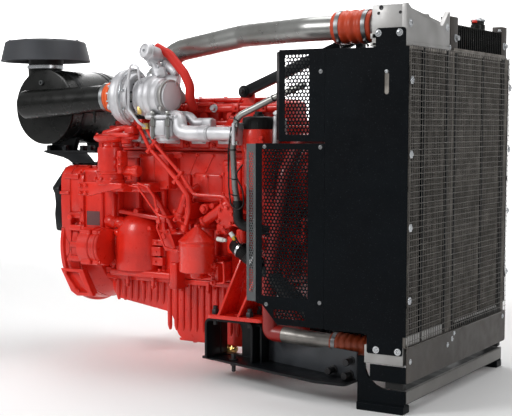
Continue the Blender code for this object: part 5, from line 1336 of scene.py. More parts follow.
def oil_and_water_pipes():
    """The red pipes along the engine's side with their double clips, and the thin pipes to the cleaner."""
    thick = Piece("turbo_drain_pipe")
    side = -0.340
    route = bent([(-0.232, side, 1.072), (-0.204, side, 1.020), (-0.164, side, 0.951), (-0.027, side, 0.825),
                  (0.036, side, 0.752), (0.038, side, 0.690), (0.014, side, 0.600), (0.014, FACE, 0.585)],
                  0.05, 8)
    radii = [0.0080 + 0.0030 * min(1.0, max(0.0, (0.98 - p.z) / 0.20)) for p in route]
    thick.tube(route, radii, 18)
    thick.done(RED, "red_paint")
    thin = Piece("turbo_feed_pipe")
    thin.tube(bent([(-0.205, side, 1.075), (-0.170, side, 1.021), (-0.131, side, 0.966),
                    (-0.001, side, 0.843),
                    (0.063, side, 0.761), (0.214, side, 0.757), (0.251, side, 0.707),
                    (0.306, -0.300, 0.690)], 0.03, 8),
              0.0072, 16)
    thin.tube(bent([(-0.290, -0.350, 0.790), (-0.220, -0.350, 0.786), (-0.114, side, 0.656),
                    (-0.128, side, 0.617),
                    (-0.088, side, 0.533), (-0.036, -0.320, 0.517), (0.026, -0.320, 0.515)], 0.02, 6),
                    0.0046, 12)
    thin.tube(bent([(-0.230, -0.335, 0.800), (-0.173, side, 0.784), (-0.140, side, 0.742),
                    (-0.124, side, 0.672),
                    (-0.085, side, 0.660), (-0.060, FACE, 0.660)], 0.02, 6), 0.0056, 12)
    thin.tube(bent([(0.210, -0.300, 0.620), (0.260, -0.360, 0.650), (0.320, -0.330, 0.620)], 0.03, 6),
              0.0042, 12)
    thin.done(RED, "red_paint")
    clips = Piece("pipe_clips")
    for x, z in ((-0.150, 0.957), (-0.014, 0.831)):
        turn = Matrix.Translation((x, side, z)) @ Matrix.Rotation(math.radians(43), 4, "Y")
        clips.block((-0.0065, -0.012, -0.030), (0.0065, 0.012, 0.034), 0.005, 3, turn)
        clips.block((-0.0085, -0.0095, -0.036), (0.0085, 0.0095, -0.026), 0.003, 2, turn)
        clips.bolt((x + 0.002, side - 0.012, z), "-Y", 0.0058)
    for x, z in ((0.016, 0.620), (-0.228, 1.062)):
        clips.drum((x, side, z - 0.010), "Z", 0.024, 0.0165, 0.003, 28)
        clips.drum((x, side, z - 0.016), "Z", 0.006, 0.0135, 0.002, 6)
    for x, y, z in ((-0.286, -0.350, 0.790), (-0.118, side, 0.642), (-0.124, side, 0.690),
                    (-0.040, -0.320, 0.517)):
        clips.turned((x, y, z), "X", [(0, -0.009), (0.0085, -0.009), (0.0085, 0.009), (0, 0.009)], 6)
    clips.done(RED, "red_paint")
    elbows = Piece("water_elbows")
    elbows.tube(bent([(0.024, -0.232, 0.790), (-0.002, -0.300, 0.760), (-0.034, -0.305, 0.664),
                      (-0.040, FACE, 0.640)], 0.035, 8),
                0.0185, 24)
    elbows.tube(bent([(0.262, -0.240, 0.750), (0.230, -0.330, 0.732), (0.104, -0.335, 0.642),
                      (0.086, FACE, 0.622)], 0.035, 8),
                0.0205, 24)
    for centre, axis, radius in (((-0.028, -0.304, 0.680), (-0.4, 0, -0.9), 0.024),
                                 ((0.008, -0.300, 0.762), (-0.4, 0, -0.9), 0.023),
                                 ((0.118, -0.335, 0.652), (-0.8, 0, -0.57), 0.026),
                                 ((0.214, -0.331, 0.721), (-0.8, 0, -0.57), 0.025)):
        elbows.drum(centre, axis, 0.014, radius, 0.004, 28)
    elbows.block((-0.070, -0.300, 0.640), (-0.020, FACE, 0.690), 0.010, 3)
    elbows.block((0.000, -0.320, 0.655), (0.030, FACE, 0.720), 0.006, 3)
    elbows.drum((0.096, -0.260, 0.700), "-Y", 0.060, 0.021, 0.004, 28)
    elbows.drum((0.096, -0.318, 0.700), "-Y", 0.012, 0.015, 0.003, 6)
    elbows.drum((0.126, -0.260, 0.712), "-Y", 0.045, 0.013, 0.003, 24)
    elbows.plate("Y", -0.352, -0.300, [(0.188, 0.716), (0.246, 0.724), (0.272, 0.690), (0.262, 0.640),
                                       (0.214, 0.618),
                                       (0.184, 0.650)], (), 0.008, 3)
    elbows.block((0.170, -0.340, 0.600), (0.236, FACE, 0.645), 0.010, 3)
    elbows.done(RED_CAST, "red_paint")
    fittings = Piece("side_fittings")
    for x, z in ((0.200, 0.704), (0.236, 0.712), (0.258, 0.688), (0.252, 0.650), (0.214, 0.632),
                 (0.194, 0.656)):
        fittings.bolt((x, -0.352, z), "-Y", 0.0075)
    for x, z in ((-0.062, 0.682), (-0.028, 0.648), (-0.062, 0.648), (0.006, 0.712), (0.024, 0.664),
                 (0.006, 0.664)):
        fittings.bolt((x, -0.300 if x < 0 else -0.320, z), "-Y", 0.0068)
    for x, z in ((0.184, 0.610), (0.222, 0.612), (0.300, 0.566), (0.286, 0.546), (0.276, 0.590)):
        fittings.drum((x, -0.300, z), "-Y", 0.045, 0.009, 0.002, 20)
        fittings.bolt((x, -0.345, z), "-Y", 0.0070)
    fittings.block((0.215, -0.330, 0.520), (0.330, FACE, 0.600), 0.014, 4)
    fittings.drum((0.300, -0.345, 0.568), "Z", 0.060, 0.022, 0.005, 28)
    fittings.done(RED, "red_paint")


def wiring():
    """The sensor plugs, the loom beside the coolant pipe, and the ties that hold it."""
    pale = Piece("sensor_plugs")
    pale.turned((0.212, -0.392, 0.588), (0.95, 0, -0.10),
                [(0, 0), (0.0085, 0), (0.0095, 0.003), (0.0095, 0.030), (0.0070, 0.032),
                                                         (0.0070, 0.044), (0, 0.044)], 20)
    pale.turned((0.276, -0.392, 0.616), (0.55, 0, -0.60),
                [(0, 0), (0.0085, 0), (0.0095, 0.003), (0.0095, 0.022), (0, 0.022)], 20)
    pale.done(PALE, "bare_aluminium")
    yellow = Piece("yellow_plug")
    yellow.turned((0.288, -0.392, 0.602), (0.55, 0, -0.60),
                  [(0, 0), (0.0092, 0), (0.0092, 0.015), (0.0075, 0.017), (0, 0.017)], 20)
    yellow.done(YELLOW, "orange_rubber")
    loom = Piece("wiring_loom")
    loom.tube(bent([(0.300, -0.398, 0.600), (0.320, -0.380, 0.560), (0.360, -0.330, 0.545)], 0.02, 6),
              0.0035, 10)
    loom.tube(bent([(0.262, -0.380, 0.930), (0.268, -0.392, 0.800), (0.286, -0.405, 0.730),
                    (0.320, -0.405, 0.706),
                    (0.345, -0.400, 0.730), (0.336, -0.395, 0.790), (0.300, -0.395, 0.850),
                    (0.330, -0.385, 0.890)], 0.03, 8),
              0.0030, 10)
    loom.tube(bent([(0.276, -0.385, 1.040), (0.262, -0.385, 0.940), (0.262, -0.385, 0.860)], 0.02, 6),
              0.0030, 10)
    loom.done(RUBBER, "black_rubber")


repaint(DARK_STEEL, "crankshaft")
engine_block()
oil_cooler_cover()
flywheel_housing()
flywheel_details()
sump()
cylinder_head_and_covers()
lifting_lug_and_stay()
breather()
oil_cleaner()
fuel_filter()
oil_and_water_pipes()
wiring()


# --- turbocharger, exhaust and air path ---------------------------------------

TURBO = Vector((0, -0.330, 1.165))
CLEANER_AXIS = Vector((-0.825, 0, 1.130))


def volute(piece, x, centre, loop, start_radius, end_radius, width_start, width_end, turn=300, begin=0,
           steps=40):
    """A snail of growing section wound round the turbo's axis."""
    route, radii = [], []
    for step in range(steps + 1):
        share = step / steps
        angle = math.radians(begin + turn * share)
        across = start_radius + (end_radius - start_radius) * share
        route.append((x, centre[0] + across * math.cos(angle), centre[1] + across * math.sin(angle)))
        radii.append(width_start + (width_end - width_start) * share)
    piece.tube(route, radii, loop)


def compressor():
    """The compressor's snail with its ribbed back, its band and bolts, the inlet ring and the outlet."""
    housing = Piece("compressor_snail")
    at = (0, TURBO.y, TURBO.z)
    axis = Matrix.Translation(at) @ Matrix.Rotation(math.pi / 2, 4, "Y")
    volute(housing, -0.286, (TURBO.y, TURBO.z), 28, 0.078, 0.084, 0.022, 0.0395, turn=330, begin=-250)
    body = [(0.050, -0.368), (0.0545, -0.366), (0.0560, -0.360), (0.0560, -0.334), (0.066, -0.330),
            (0.070, -0.326)]
    body += [(0.073, -0.316), (0.092, -0.312), (0.110, -0.302), (0.119, -0.286), (0.118, -0.268),
             (0.108, -0.254)]
    body += [(0.110, -0.250), (0.110, -0.240), (0.100, -0.238), (0.098, -0.228), (0.060, -0.222),
             (0.046, -0.216)]
    body += [(0.044, -0.205), (0.010, -0.205), (0.010, -0.290), (0.040, -0.330), (0.044, -0.366)]
    housing.turned(None, None, body, 80, closed=True, place=axis)
    housing.tube(bent([(-0.286, -0.285, 1.080), (-0.2785, -0.2345, 1.1475), (-0.2255, -0.2055, 1.2395)],
                      0.05, 8),
                 (0.036, 0.037), 32)
    out = Vector((-0.2255, -0.2055, 1.2395)) - Vector((-0.2785, -0.2345, 1.1475))
    tip = Vector((-0.2255, -0.2055, 1.2395))
    housing.sleeve(tip - out.normalized() * 0.030, tuple(out), 0.026, 0.046, 0.030, 0.003, 48)
    housing.turned(None, None, [(0.094, -0.262), (0.119, -0.262), (0.1235, -0.256), (0.1235, -0.250),
                                (0.118, -0.246),
                                (0.094, -0.246)], 96, closed=True, place=axis)
    housing.turned(None, None, [(0.060, -0.232), (0.094, -0.232), (0.0965, -0.229), (0.0965, -0.222),
                                (0.093, -0.220),
                                (0.088, -0.220), (0.086, -0.226), (0.060, -0.226)], 96, closed=True,
                                place=axis)
    for number in range(16):
        turn = axis @ Matrix.Rotation(math.radians(22.5 * number + 12), 4, "Z")
        housing.block((0.086, -0.004, -0.262), (0.108, 0.004, -0.236), 0.002, 2, turn)
        housing.block((0.060, -0.0035, -0.334), (0.088, 0.0035, -0.308), 0.002, 1, turn)
    housing.drum((-0.312, TURBO.y - 0.070, TURBO.z - 0.040), "-X", 0.018, 0.016, 0.003)
    housing.done(CAST, "bare_aluminium", "compressor_housing")
    band = Piece("compressor_band")
    band.turned(None, None, [(0.1115, -0.2500), (0.1145, -0.2490), (0.1145, -0.2410), (0.1115, -0.2400)], 80,
                closed=True, place=axis)
    for number in range(8):
        angle = math.radians(45 * number + 30)
        y, z = TURBO.y + 0.103 * math.cos(angle), TURBO.z + 0.103 * math.sin(angle)
        band.bolt((-0.240, y, z), "X", 0.0065, 0.008)
    band.done(ZINC, "zinc_steel")


def turbine():
    """The turbine's snail in three steps, its neck and foot, the bypass valve, and the outlet's cover."""
    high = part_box("turbine_housing")[1]
    axis = Matrix.Translation((0, TURBO.y, TURBO.z)) @ Matrix.Rotation(math.pi / 2, 4, "Y")
    housing = Piece("turbine_snail")
    front = high.x - 0.022
    steps = [(0.062, 0.000), (0.0640, 0.004), (0.0640, 0.026), (0.0690, 0.031), (0.0760, 0.034),
             (0.0790, 0.040)]
    steps += [(0.0790, 0.052), (0.0830, 0.058), (0.0900, 0.062), (0.0930, 0.070), (0.0930, 0.084),
              (0.0900, 0.090)]
    steps += [(0.0860, 0.092), (0.0880, 0.098), (0.0900, 0.108), (0.0880, 0.118), (0.0800, 0.126),
              (0.0760, 0.136)]
    steps += [(0.0800, 0.140), (0.0800, 0.148), (0.0740, 0.151), (0.0480, 0.153), (0.0440, 0.162),
              (0.0100, 0.162)]
    steps += [(0.0100, 0.080), (0.0475, 0.030)]
    housing.turned(None, None, [(radius, front - back) for radius, back in steps], 80, closed=True,
                   place=axis)
    housing.bar((-0.108, TURBO.y, 1.150), (-0.104, TURBO.y, 1.085), 0.080, 0.094, 0.022)
    housing.block((-0.150, -0.392, 1.072), (-0.010, -0.270, 1.090), 0.007, 3)
    housing.drum((-0.142, -0.372, 1.070), "Z", 0.052, 0.0120, 0.003, 20)
    housing.bar((-0.112, -0.315, 1.240), (-0.122, -0.320, 1.290), 0.060, 0.050, 0.016)
    housing.tube([(-0.122, -0.322, 1.250), (-0.136, -0.328, 1.298), (-0.146, -0.330, 1.318)],
                 [0.034, 0.018, 0.022], 24)
    housing.tube(bent([(-0.112, -0.320, 1.180), (-0.112, -0.300, 1.236), (-0.050, -0.285, 1.226)], 0.04, 6),
                 0.0290, 24)
    housing.done(CAST, "core_metal", "turbine_housing")
    rim_at = Matrix.Translation((front - 0.012, TURBO.y - 0.004,
                                 TURBO.z + 0.003)) @ Matrix.Rotation(math.radians(-10), 4, "Z")
    rim_at = rim_at @ Matrix.Rotation(math.pi / 2, 4, "Y")
    rim = Piece("turbine_outlet_rim")
    rim.turned(None, None, [(0.0600, 0.014), (0.0645, 0.0150), (0.0672, 0.0140), (0.0680, 0.011),
                            (0.0680, 0.002),
                            (0.0650, -0.004), (0.0600, -0.004)], 80, closed=True, place=rim_at)
    lug = [(-0.020, 0.060), (0.024, 0.060), (0.030, 0.078), (0.018, 0.092), (-0.006, 0.090), (-0.024, 0.070)]
    rim.plate("Z", -0.003, 0.011, lug, (), 0.004, 2, rim_at)
    rim.plate("Z", -0.003, 0.011, [(0.040, -0.046), (0.066, -0.030), (0.074, -0.046), (0.060, -0.062),
                                   (0.044, -0.060)],
              (), 0.003, 2, rim_at)
    rim.done(MACHINED, "core_metal")
    blank = Piece("outlet_transit_cover")
    blank.turned(None, None, [(0, 0.0120), (0.0590, 0.0120), (0.0612, 0.0110), (0.0612, 0.009), (0, 0.009)],
                 64, place=rim_at)
    blank.done(BLANK, "core_metal")
    neck = Piece("turbine_neck")
    neck.block((-0.135, -0.384, 0.992), (-0.018, -0.262, 1.074), 0.014, 4)
    neck.block((-0.108, -0.390, 1.000), (-0.046, -0.300, 1.070), 0.010, 3)
    neck.drum((-0.076, -0.325, 0.972), "Z", 0.030, 0.050, 0.014, 36)
    neck.done(CAST, "core_metal")
    studs = Piece("turbine_studs")
    for x, y in ((-0.106, -0.394), (-0.029, -0.394), (-0.112, -0.268), (-0.029, -0.268)):
        studs.drum((x, y, 0.996), "Z", 0.086, 0.0062, 0.002, 18)
        studs.drum((x, y, 1.040), "Z", 0.034, 0.0105, 0.003, 20)
        studs.bolt((x, y, 1.090), "Z", 0.0092, 0.012)
        studs.bolt((x, y, 1.000), "-Z", 0.0085, 0.010)
    for number in range(6):
        angle = math.radians(60 * number)
        y, z = TURBO.y + 0.078 * math.cos(angle), TURBO.z + 0.078 * math.sin(angle)
        studs.bolt((front - 0.148, y, z), "-X", 0.0075, 0.010)
    studs.done(TUBE, "dark_steel")
    gap = Piece("bearing_cartridge")
    gap.drum((-0.238, TURBO.y, TURBO.z), "X", 0.040, 0.0460, 0.003, 48)
    for number in range(10):
        turn = axis @ Matrix.Rotation(math.radians(36 * number), 4, "Z")
        gap.block((0.030, -0.0030, -0.238), (0.068, 0.0030, -0.200), 0.0015, 1, turn)
    gap.drum((-0.215, TURBO.y, 1.130), "-Z", 0.050, 0.0190, 0.004, 28)
    gap.drum((-0.215, TURBO.y, 1.082), "-Z", 0.010, 0.0260, 0.003, 28)
    gap.done(DARK_STEEL, "dark_steel")
    drain = Piece("turbo_drain_flange")
    drain.block((-0.238, -0.356, 1.058), (-0.188, -0.306, 1.072), 0.004, 2)
    drain.drum((-0.206, -0.345, 1.030), "Z", 0.034, 0.0160, 0.004, 28)
    drain.tube([(-0.176, -0.310, 1.105), (-0.180, -0.300, 1.060), (-0.190, -0.290, 1.000)], 0.0120, 18)
    drain.done(RED_CAST, "red_paint")
    feed = Piece("turbo_oil_feed")
    feed.tube(bent([(-0.165, -0.390, 1.215), (-0.150, -0.425, 1.246), (-0.154, -0.425, 1.290),
                    (-0.194, -0.425, 1.302),
                    (-0.205, -0.425, 1.240), (-0.206, -0.425, 1.112), (-0.153, -0.425, 1.056),
                    (-0.140, -0.400, 1.040)],
                   0.026, 10), 0.0056, 14)
    feed.turned((-0.165, -0.390, 1.215), (0.3, -0.7, 0.6),
                [(0, -0.012), (0.009, -0.012), (0.009, 0.004), (0, 0.004)], 6)
    feed.done(CAST, "bare_aluminium")
    union = Piece("oil_feed_union")
    union.turned((-0.168, -0.400, 1.092), "Z", [(0, 0), (0.010, 0), (0.010, 0.030), (0.007, 0.034),
                                                (0, 0.034)], 6)
    union.turned((-0.186, -0.350, 1.042), "X", [(0, 0), (0.014, 0), (0.014, 0.030), (0, 0.030)], 6)
    union.done(BRASS, "bare_aluminium")


def turbo_wheels():
    """The two bladed wheels on one shaft."""
    wheels = Piece("turbo_wheels")
    axis = Matrix.Translation((0, TURBO.y, TURBO.z)) @ Matrix.Rotation(math.pi / 2, 4, "Y")
    low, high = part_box("turbo_rotor")
    reach = min((high.z - low.z) / 2, 0.040)
    wheels.turned(None, None, [(0, low.x), (0.006, low.x), (0.008, low.x + 0.010), (0.012, low.x + 0.022),
                               (reach * 0.92, low.x + 0.040), (reach, low.x + 0.043), (0.008, low.x + 0.046),
                               (0.008, high.x - 0.040), (reach * 0.92, high.x - 0.036),
                               (0.012, high.x - 0.018),
                               (0.007, high.x), (0, high.x)], 40, place=axis)
    for number in range(12):
        turn = axis @ Matrix.Rotation(math.radians(30 * number), 4, "Z")
        wheels.block((0.008, -0.0006, low.x + 0.012), (reach * 0.90, 0.0006, low.x + 0.041), 0, 1, turn)
        wheels.block((0.008, -0.0007, high.x - 0.038), (reach * 0.90, 0.0007, high.x - 0.014), 0, 1, turn)
    wheels.done(MACHINED, "dark_steel", "turbo_rotor", body="turbo_rotor")


def wastegate():
    """The wastegate's can in two pressed halves with its strap, and the rod that comes out of it."""
    place = Matrix.Translation((-0.128, -0.330, 1.268)) @ Matrix.Rotation(math.radians(-33.4), 4, "Y")
    can = Piece("wastegate_can")
    cover_at = Vector((-0.150, -0.392, 1.356))
    aim = (-0.22, -0.95, 0.22)
    profile = [(0, -0.108), (0.0210, -0.108), (0.0250, -0.100), (0.0260, -0.078), (0.0300, -0.074),
               (0.0310, -0.066)]
    profile += [(0.0310, -0.036), (0.0345, -0.033), (0.0345, -0.025), (0.0320, -0.022), (0.0318, -0.004),
                (0.0295, 0)]
    profile += [(0.0265, 0.0010), (0.0240, -0.0010), (0.0225, -0.0050), (0.0120, -0.0050),
                (0.0100, -0.0020), (0, -0.0020)]
    can.turned(cover_at, aim, profile, 64)
    can.tube([(-0.150, -0.325, 1.335), (-0.132, -0.325, 1.296), (-0.118, -0.325, 1.250)],
             [0.020, 0.018, 0.030], 24)
    tilt = Vector((0, 0, 1)).rotation_difference(Vector(aim)).to_matrix().to_4x4()
    for number in range(4):
        turn = Matrix.Translation(cover_at) @ tilt @ Matrix.Rotation(math.radians(45 + 90 * number), 4, "Z")
        can.block((0.026, -0.006, -0.034), (0.039, 0.006, -0.024), 0.003, 2, turn)
    can.turned(None, None, [(0, 0.036), (0.014, 0.036), (0.018, 0.042), (0.018, 0.086), (0.012, 0.092),
                            (0, 0.092)], 40,
               place=place)
    can.done(CAST, "dark_steel", "wastegate_actuator")
    mark = Piece("wastegate_screw")
    mark.turned(cover_at, aim, [(0, -0.004), (0.0070, -0.004), (0.0070, 0.0010), (0, 0.0010)], 6)
    mark.done(ZINC, "zinc_steel")
    bracket = Piece("wastegate_bracket")
    bracket.block((-0.026, -0.010, 0.020), (0.026, 0.010, 0.028), 0.002, 2, place)
    bracket.block((0.016, -0.010, -0.020), (0.026, 0.010, 0.028), 0.002, 2, place)
    bracket.bolt(tuple(place @ Vector((0.021, -0.010, 0.010))), "-Y", 0.006)
    bracket.done(ZINC, "zinc_steel")
    rod = Piece("wastegate_push_rod")
    rod.turned(None, None, [(0, 0.002), (0.0056, 0.004), (0.0056, 0.074), (0, 0.076)], 20, place=place)
    rod.turned(None, None, [(0, 0.004), (0.0085, 0.004), (0.0085, 0.016), (0, 0.016)], 6, place=place)
    rod.done(ZINC, "zinc_steel", "wastegate_rod", body="wastegate_rod")
    second = Piece("pressure_capsule")
    second.drum((-0.118, -0.290, 1.312), (0.80, 0, -0.60), 0.086, 0.0230, 0.007, 40)
    second.drum((-0.098, -0.290, 1.297), (0.80, 0, -0.60), 0.010, 0.0260, 0.003, 40)
    second.drum((-0.066, -0.290, 1.273), (0.80, 0, -0.60), 0.010, 0.0255, 0.003, 40)
    second.done(CAST, "bare_aluminium")
    hose = Piece("boost_sensing_hose")
    hose.tube(bent([(-0.150, -0.302, 1.374), (-0.084, -0.300, 1.341), (-0.010, -0.300, 1.262),
                    (0.020, -0.298, 1.205),
                    (0.010, -0.290, 1.165), (0.000, -0.250, 1.120)], 0.08, 10), 0.0195, 24)
    hose.done(RED_MATT, "red_paint")


def exhaust_manifold():
    """The manifold: the big elbow, the slip ring, the plain log, its flange, and a port to each cylinder."""
    manifold = Piece("manifold_casting")
    side = -0.360
    manifold.tube(bent([(-0.060, -0.325, 1.078), (-0.006, -0.345, 1.078), (0.008, side, 1.020),
                        (0.060, side, 1.0125),
                        (0.120, side, 1.0125)], 0.045, 10), 0.0315, 36)
    manifold.tube(bent([(-0.040, -0.290, 1.085), (0.010, -0.290, 1.082), (0.040, -0.295, 1.056),
                        (0.128, -0.295, 1.056)],
                       0.03, 8), 0.0200, 24)
    manifold.block((0.086, -0.318, 1.036), (0.132, -0.272, 1.072), 0.006, 3)
    manifold.block((-0.060, -0.380, 1.060), (0.004, -0.262, 1.092), 0.010, 3)
    manifold.drum((0.113, side, 1.0125), "X", 0.040, 0.0345, 0.004, 48)
    manifold.drum((0.150, side, 1.0125), "X", 0.008, 0.0325, 0.003, 48)
    manifold.drum((0.155, side, 1.0125), "X", 0.140, 0.0275, 0.002, 40)
    manifold.block((0.288, -0.405, 0.966), (0.304, -0.315, 1.056), 0.006, 3)
    manifold.tube([(0.290, -0.340, 1.012), (0.290, -0.205, 1.000)], 0.0265, 28)
    manifold.drum((-0.420, -0.262, 1.012), "X", 0.700, 0.0200, 0.008, 32)
    for number in range(6):
        x = -0.400 + number * 0.134
        manifold.tube(bent([(x, -0.195, 0.996), (x, -0.262, 1.000), (x + 0.020, -0.275, 1.010)], 0.03, 6),
                      0.0195, 20)
        manifold.block((x - 0.038, -0.2150, 0.966), (x + 0.038, -0.2010, 1.024), 0.006, 3)
    manifold.done(CAST, "core_metal", "exhaust_manifold")
    ports = Piece("manifold_port_bolts")
    for number in range(6):
        x = -0.400 + number * 0.134
        for dx, z in ((-0.029, 1.019), (0.029, 0.981)):
            ports.bolt((x + dx, -0.215, z), "-Y", 0.0072)
    for y, z in ((-0.325, 1.046), (-0.395, 0.976), (-0.325, 0.976), (-0.395, 1.046)):
        ports.bolt((0.304, y, z), "X", 0.0080)
    ports.done(TUBE, "dark_steel")
    lift = Piece("manifold_brackets")
    lift.block((-0.282, -0.306, 0.976), (-0.236, -0.296, 1.040), 0.004, 2)
    lift.drum((-0.259, -0.306, 0.996), "-Y", 0.008, 0.014, 0.003, 24)
    lift.bolt((-0.259, -0.313, 0.996), "-Y", 0.0085)
    lift.done(CAST, "core_metal")


def air_cleaner():
    """The drum with its tangent inlet, the near cap, the rear cover with its clips, and the neck."""
    at = (CLEANER_AXIS.x, 0, CLEANER_AXIS.z)
    drum = Piece("air_cleaner_drum")
    profile = [(0.0, -0.2500), (0.1640, -0.2500), (0.1685, -0.2485), (0.1705, -0.2440), (0.1705, -0.2380)]
    profile += [(0.1690, -0.2300), (0.1690, 0.1100), (0.1720, 0.1130), (0.1720, 0.1270), (0.1690, 0.1300)]
    profile += [(0.1690, 0.1700), (0.1600, 0.1860), (0.1200, 0.1900), (0, 0.1900)]
    flip = Matrix.Translation(at) @ Matrix.Rotation(-math.pi / 2, 4, "X")
    drum.turned(None, None, profile, 96, place=flip)
    drum.drum((-0.921, -0.130, 1.150), "Z", 0.162, 0.078, 0.006, 64)
    drum.block((-0.770, -0.222, 0.985), (-0.730, -0.196, 1.030), 0.004, 2)
    drum.done(MOULDED, "black_plastic", "air_cleaner_body")
    tap = Piece("service_indicator_port")
    tap.sleeve((-0.836, -0.2595, 1.240), "Y", 0.012, 0.0110, 0.0062, 0.001, 24)
    tap.done(GREY_COAT_AND_HIGHLIGHT, "black_plastic")
    clips = Piece("air_cleaner_clips")
    for number in range(4):
        turn = flip @ Matrix.Rotation(math.radians(45 + 90 * number), 4, "Z")
        clips.block((0.1660, -0.014, 0.100), (0.1750, 0.014, 0.144), 0.003, 2, turn)
        clips.block((0.1720, -0.008, 0.086), (0.1775, 0.008, 0.132), 0.002, 2, turn)
    clips.done(MOULDED, "black_plastic")
    clamp = Piece("rain_cap_band_clamp")
    clamp.clamp((-0.917, -0.130, 1.3165), "Z", 0.0845, 0.016, -60)
    clamp.done(ZINC, "zinc_steel")


def rain_cap():
    """The wide cap: a shallow pan with a flared rim, and under it the louvred ring and the sleeve in a darker
    black, painted shade under the cap.
    """
    cap = Piece("rain_cap_pan")
    at = (-0.915, -0.130, 0)
    profile = [(0, 1.4480), (0.0600, 1.4475), (0.1250, 1.4430), (0.1660, 1.4370), (0.1830, 1.4320),
               (0.1870, 1.4270)]
    profile += [(0.2060, 1.3480), (0.2080, 1.3445), (0.2070, 1.3410), (0.2035, 1.3415), (0.2020, 1.3450),
                (0.1830, 1.4250)]
    profile += [(0.1700, 1.4320), (0.1500, 1.4350), (0, 1.4420)]
    cap.turned(at, "Z", profile, 120)
    for number in range(8):
        turn = Matrix.Translation(at) @ Matrix.Rotation(math.radians(45 * number + 10), 4, "Z")
        cap.block((0.1610, -0.0070, 1.4280), (0.1740, 0.0070, 1.4395), 0.0025, 1, turn)
    cap.done(WEATHERED, "black_plastic", "rain_cap")
    lining = Piece("rain_cap_underside_painted_shade")
    lining.turned(at, "Z", [(0.0770, 1.3060), (0.0800, 1.3070), (0.0800, 1.3600), (0.0860, 1.3960),
                            (0.1700, 1.4050),
                            (0.1960, 1.3470), (0.1945, 1.3470), (0.1680, 1.4000), (0.0840, 1.3990),
                            (0.0770, 1.3620)], 96,
                  closed=True)
    for number in range(40):
        turn = Matrix.Translation(at) @ Matrix.Rotation(2 * math.pi * number / 40, 4, "Z")
        lining.block((0.0860, -0.0010, 1.3900), (0.1680, 0.0010, 1.4020), 0, 1, turn)
    # The underside is darker than the pan: painted shade under the cap.
    lining.done(RUBBER, "black_plastic")


def air_cleaner_bracket():
    """The shelf the cleaner stands on, its two curved arms and the small feet under it."""
    shelf = Piece("cleaner_shelf")
    shelf.block((-0.862, -0.215, 0.922), (-0.560, 0.150, 0.932), 0.002)
    arm = [(-0.858, 0.930), (-0.860, 0.920), (-0.805, 0.910), (-0.755, 0.900), (-0.721, 0.888),
           (-0.692, 0.868)]
    arm += [(-0.640, 0.8685), (-0.563, 0.8685), (-0.601, 0.907), (-0.628, 0.930)]
    for y0, y1 in ((-0.208, -0.196), (0.128, 0.140)):
        shelf.plate("Y", y0, y1, arm, (), 0.002, 2)
    shelf.block((-0.700, -0.208, 0.8680), (-0.560, 0.140, 0.8765), 0.002)
    for x in (-0.836, -0.742, -0.640, -0.596):
        shelf.block((x - 0.011, -0.214, 0.930), (x + 0.011, -0.180, 0.956), 0.004)
        shelf.block((x - 0.011, 0.110, 0.930), (x + 0.011, 0.145, 0.956), 0.004)
    shelf.done(BLACK, "black_paint", "air_cleaner_bracket")
    saddle = Piece("cleaner_saddle")
    for y in (-0.160, 0.090):
        saddle.plate("Y", y - 0.016, y + 0.016, [(-0.838, 0.931), (-0.720, 0.931), (-0.700, 0.990),
                                                 (-0.860, 0.990)], (), 0.002)
        saddle.sleeve((CLEANER_AXIS.x, y - 0.012, CLEANER_AXIS.z), "Y", 0.024, 0.1712, 0.1680, 0.001, 96)
    saddle.done(BLACK, "black_paint")
    rear = Piece("rear_bracket")
    outline = [(-0.140, 0.853), (-0.184, 0.856), (-0.219, 0.820), (-0.272, 0.770), (-0.276, 0.760),
               (-0.262, 0.736)]
    outline += [(-0.256, 0.690), (-0.263, 0.642), (-0.255, 0.574), (-0.243, 0.563), (-0.230, 0.600),
                (-0.227, 0.640)]
    outline += [(-0.215, 0.662), (-0.190, 0.676), (-0.150, 0.680)]
    for flip in (1, -1):
        rear.plate("X", -0.762, -0.7245, [(y * flip, z) for y, z in outline], (), 0.004, 2)
    rear.block((-0.762, -0.180, 0.815), (-0.7245, 0.180, 0.853), 0.004)
    rear.done(BLACK, "black_paint")
    bolts = Piece("shelf_bolts")
    for x in (-0.690, -0.640, -0.590):
        for y in (-0.150, 0.080):
            bolts.bolt((x, y, 0.8765), "Z", 0.009)
    bolts.done(DARK_STEEL, "dark_steel")


def air_duct():
    """The duct from the cleaner to the turbo: it widens on the way, with a bead where the hose grips it."""
    place = (Matrix.Translation((-0.378, -0.330, 1.1625)) @ Matrix.Rotation(math.radians(-2.8), 4, "Y")
             @ Matrix.Rotation(-math.pi / 2, 4, "Y"))
    duct = Piece("intake_duct")
    profile = [(0, 0.012), (0.0475, 0.010), (0.0475, 0), (0.0560, 0.001), (0.0575, 0.004), (0.0575, 0.010)]
    profile += [(0.0572, 0.060), (0.0590, 0.190), (0.0620, 0.320), (0.0640, 0.430), (0.0640, 0.472),
                (0.0622, 0.482)]
    profile += [(0.0540, 0.492), (0.0340, 0.499), (0, 0.502)]
    duct.turned(None, None, profile, 80, place=place)
    duct.bar((-0.840, -0.325, 1.140), (-0.840, -0.210, 1.140), 0.120, 0.110, 0.020)
    duct.drum((-0.452, -0.345, 1.110), "-Z", 0.022, 0.009, 0.002, 20)
    duct.drum((-0.452, -0.345, 1.090), "-Z", 0.034, 0.0060, 0.002, 20)
    duct.done(MOULDED, "black_plastic", "air_duct")


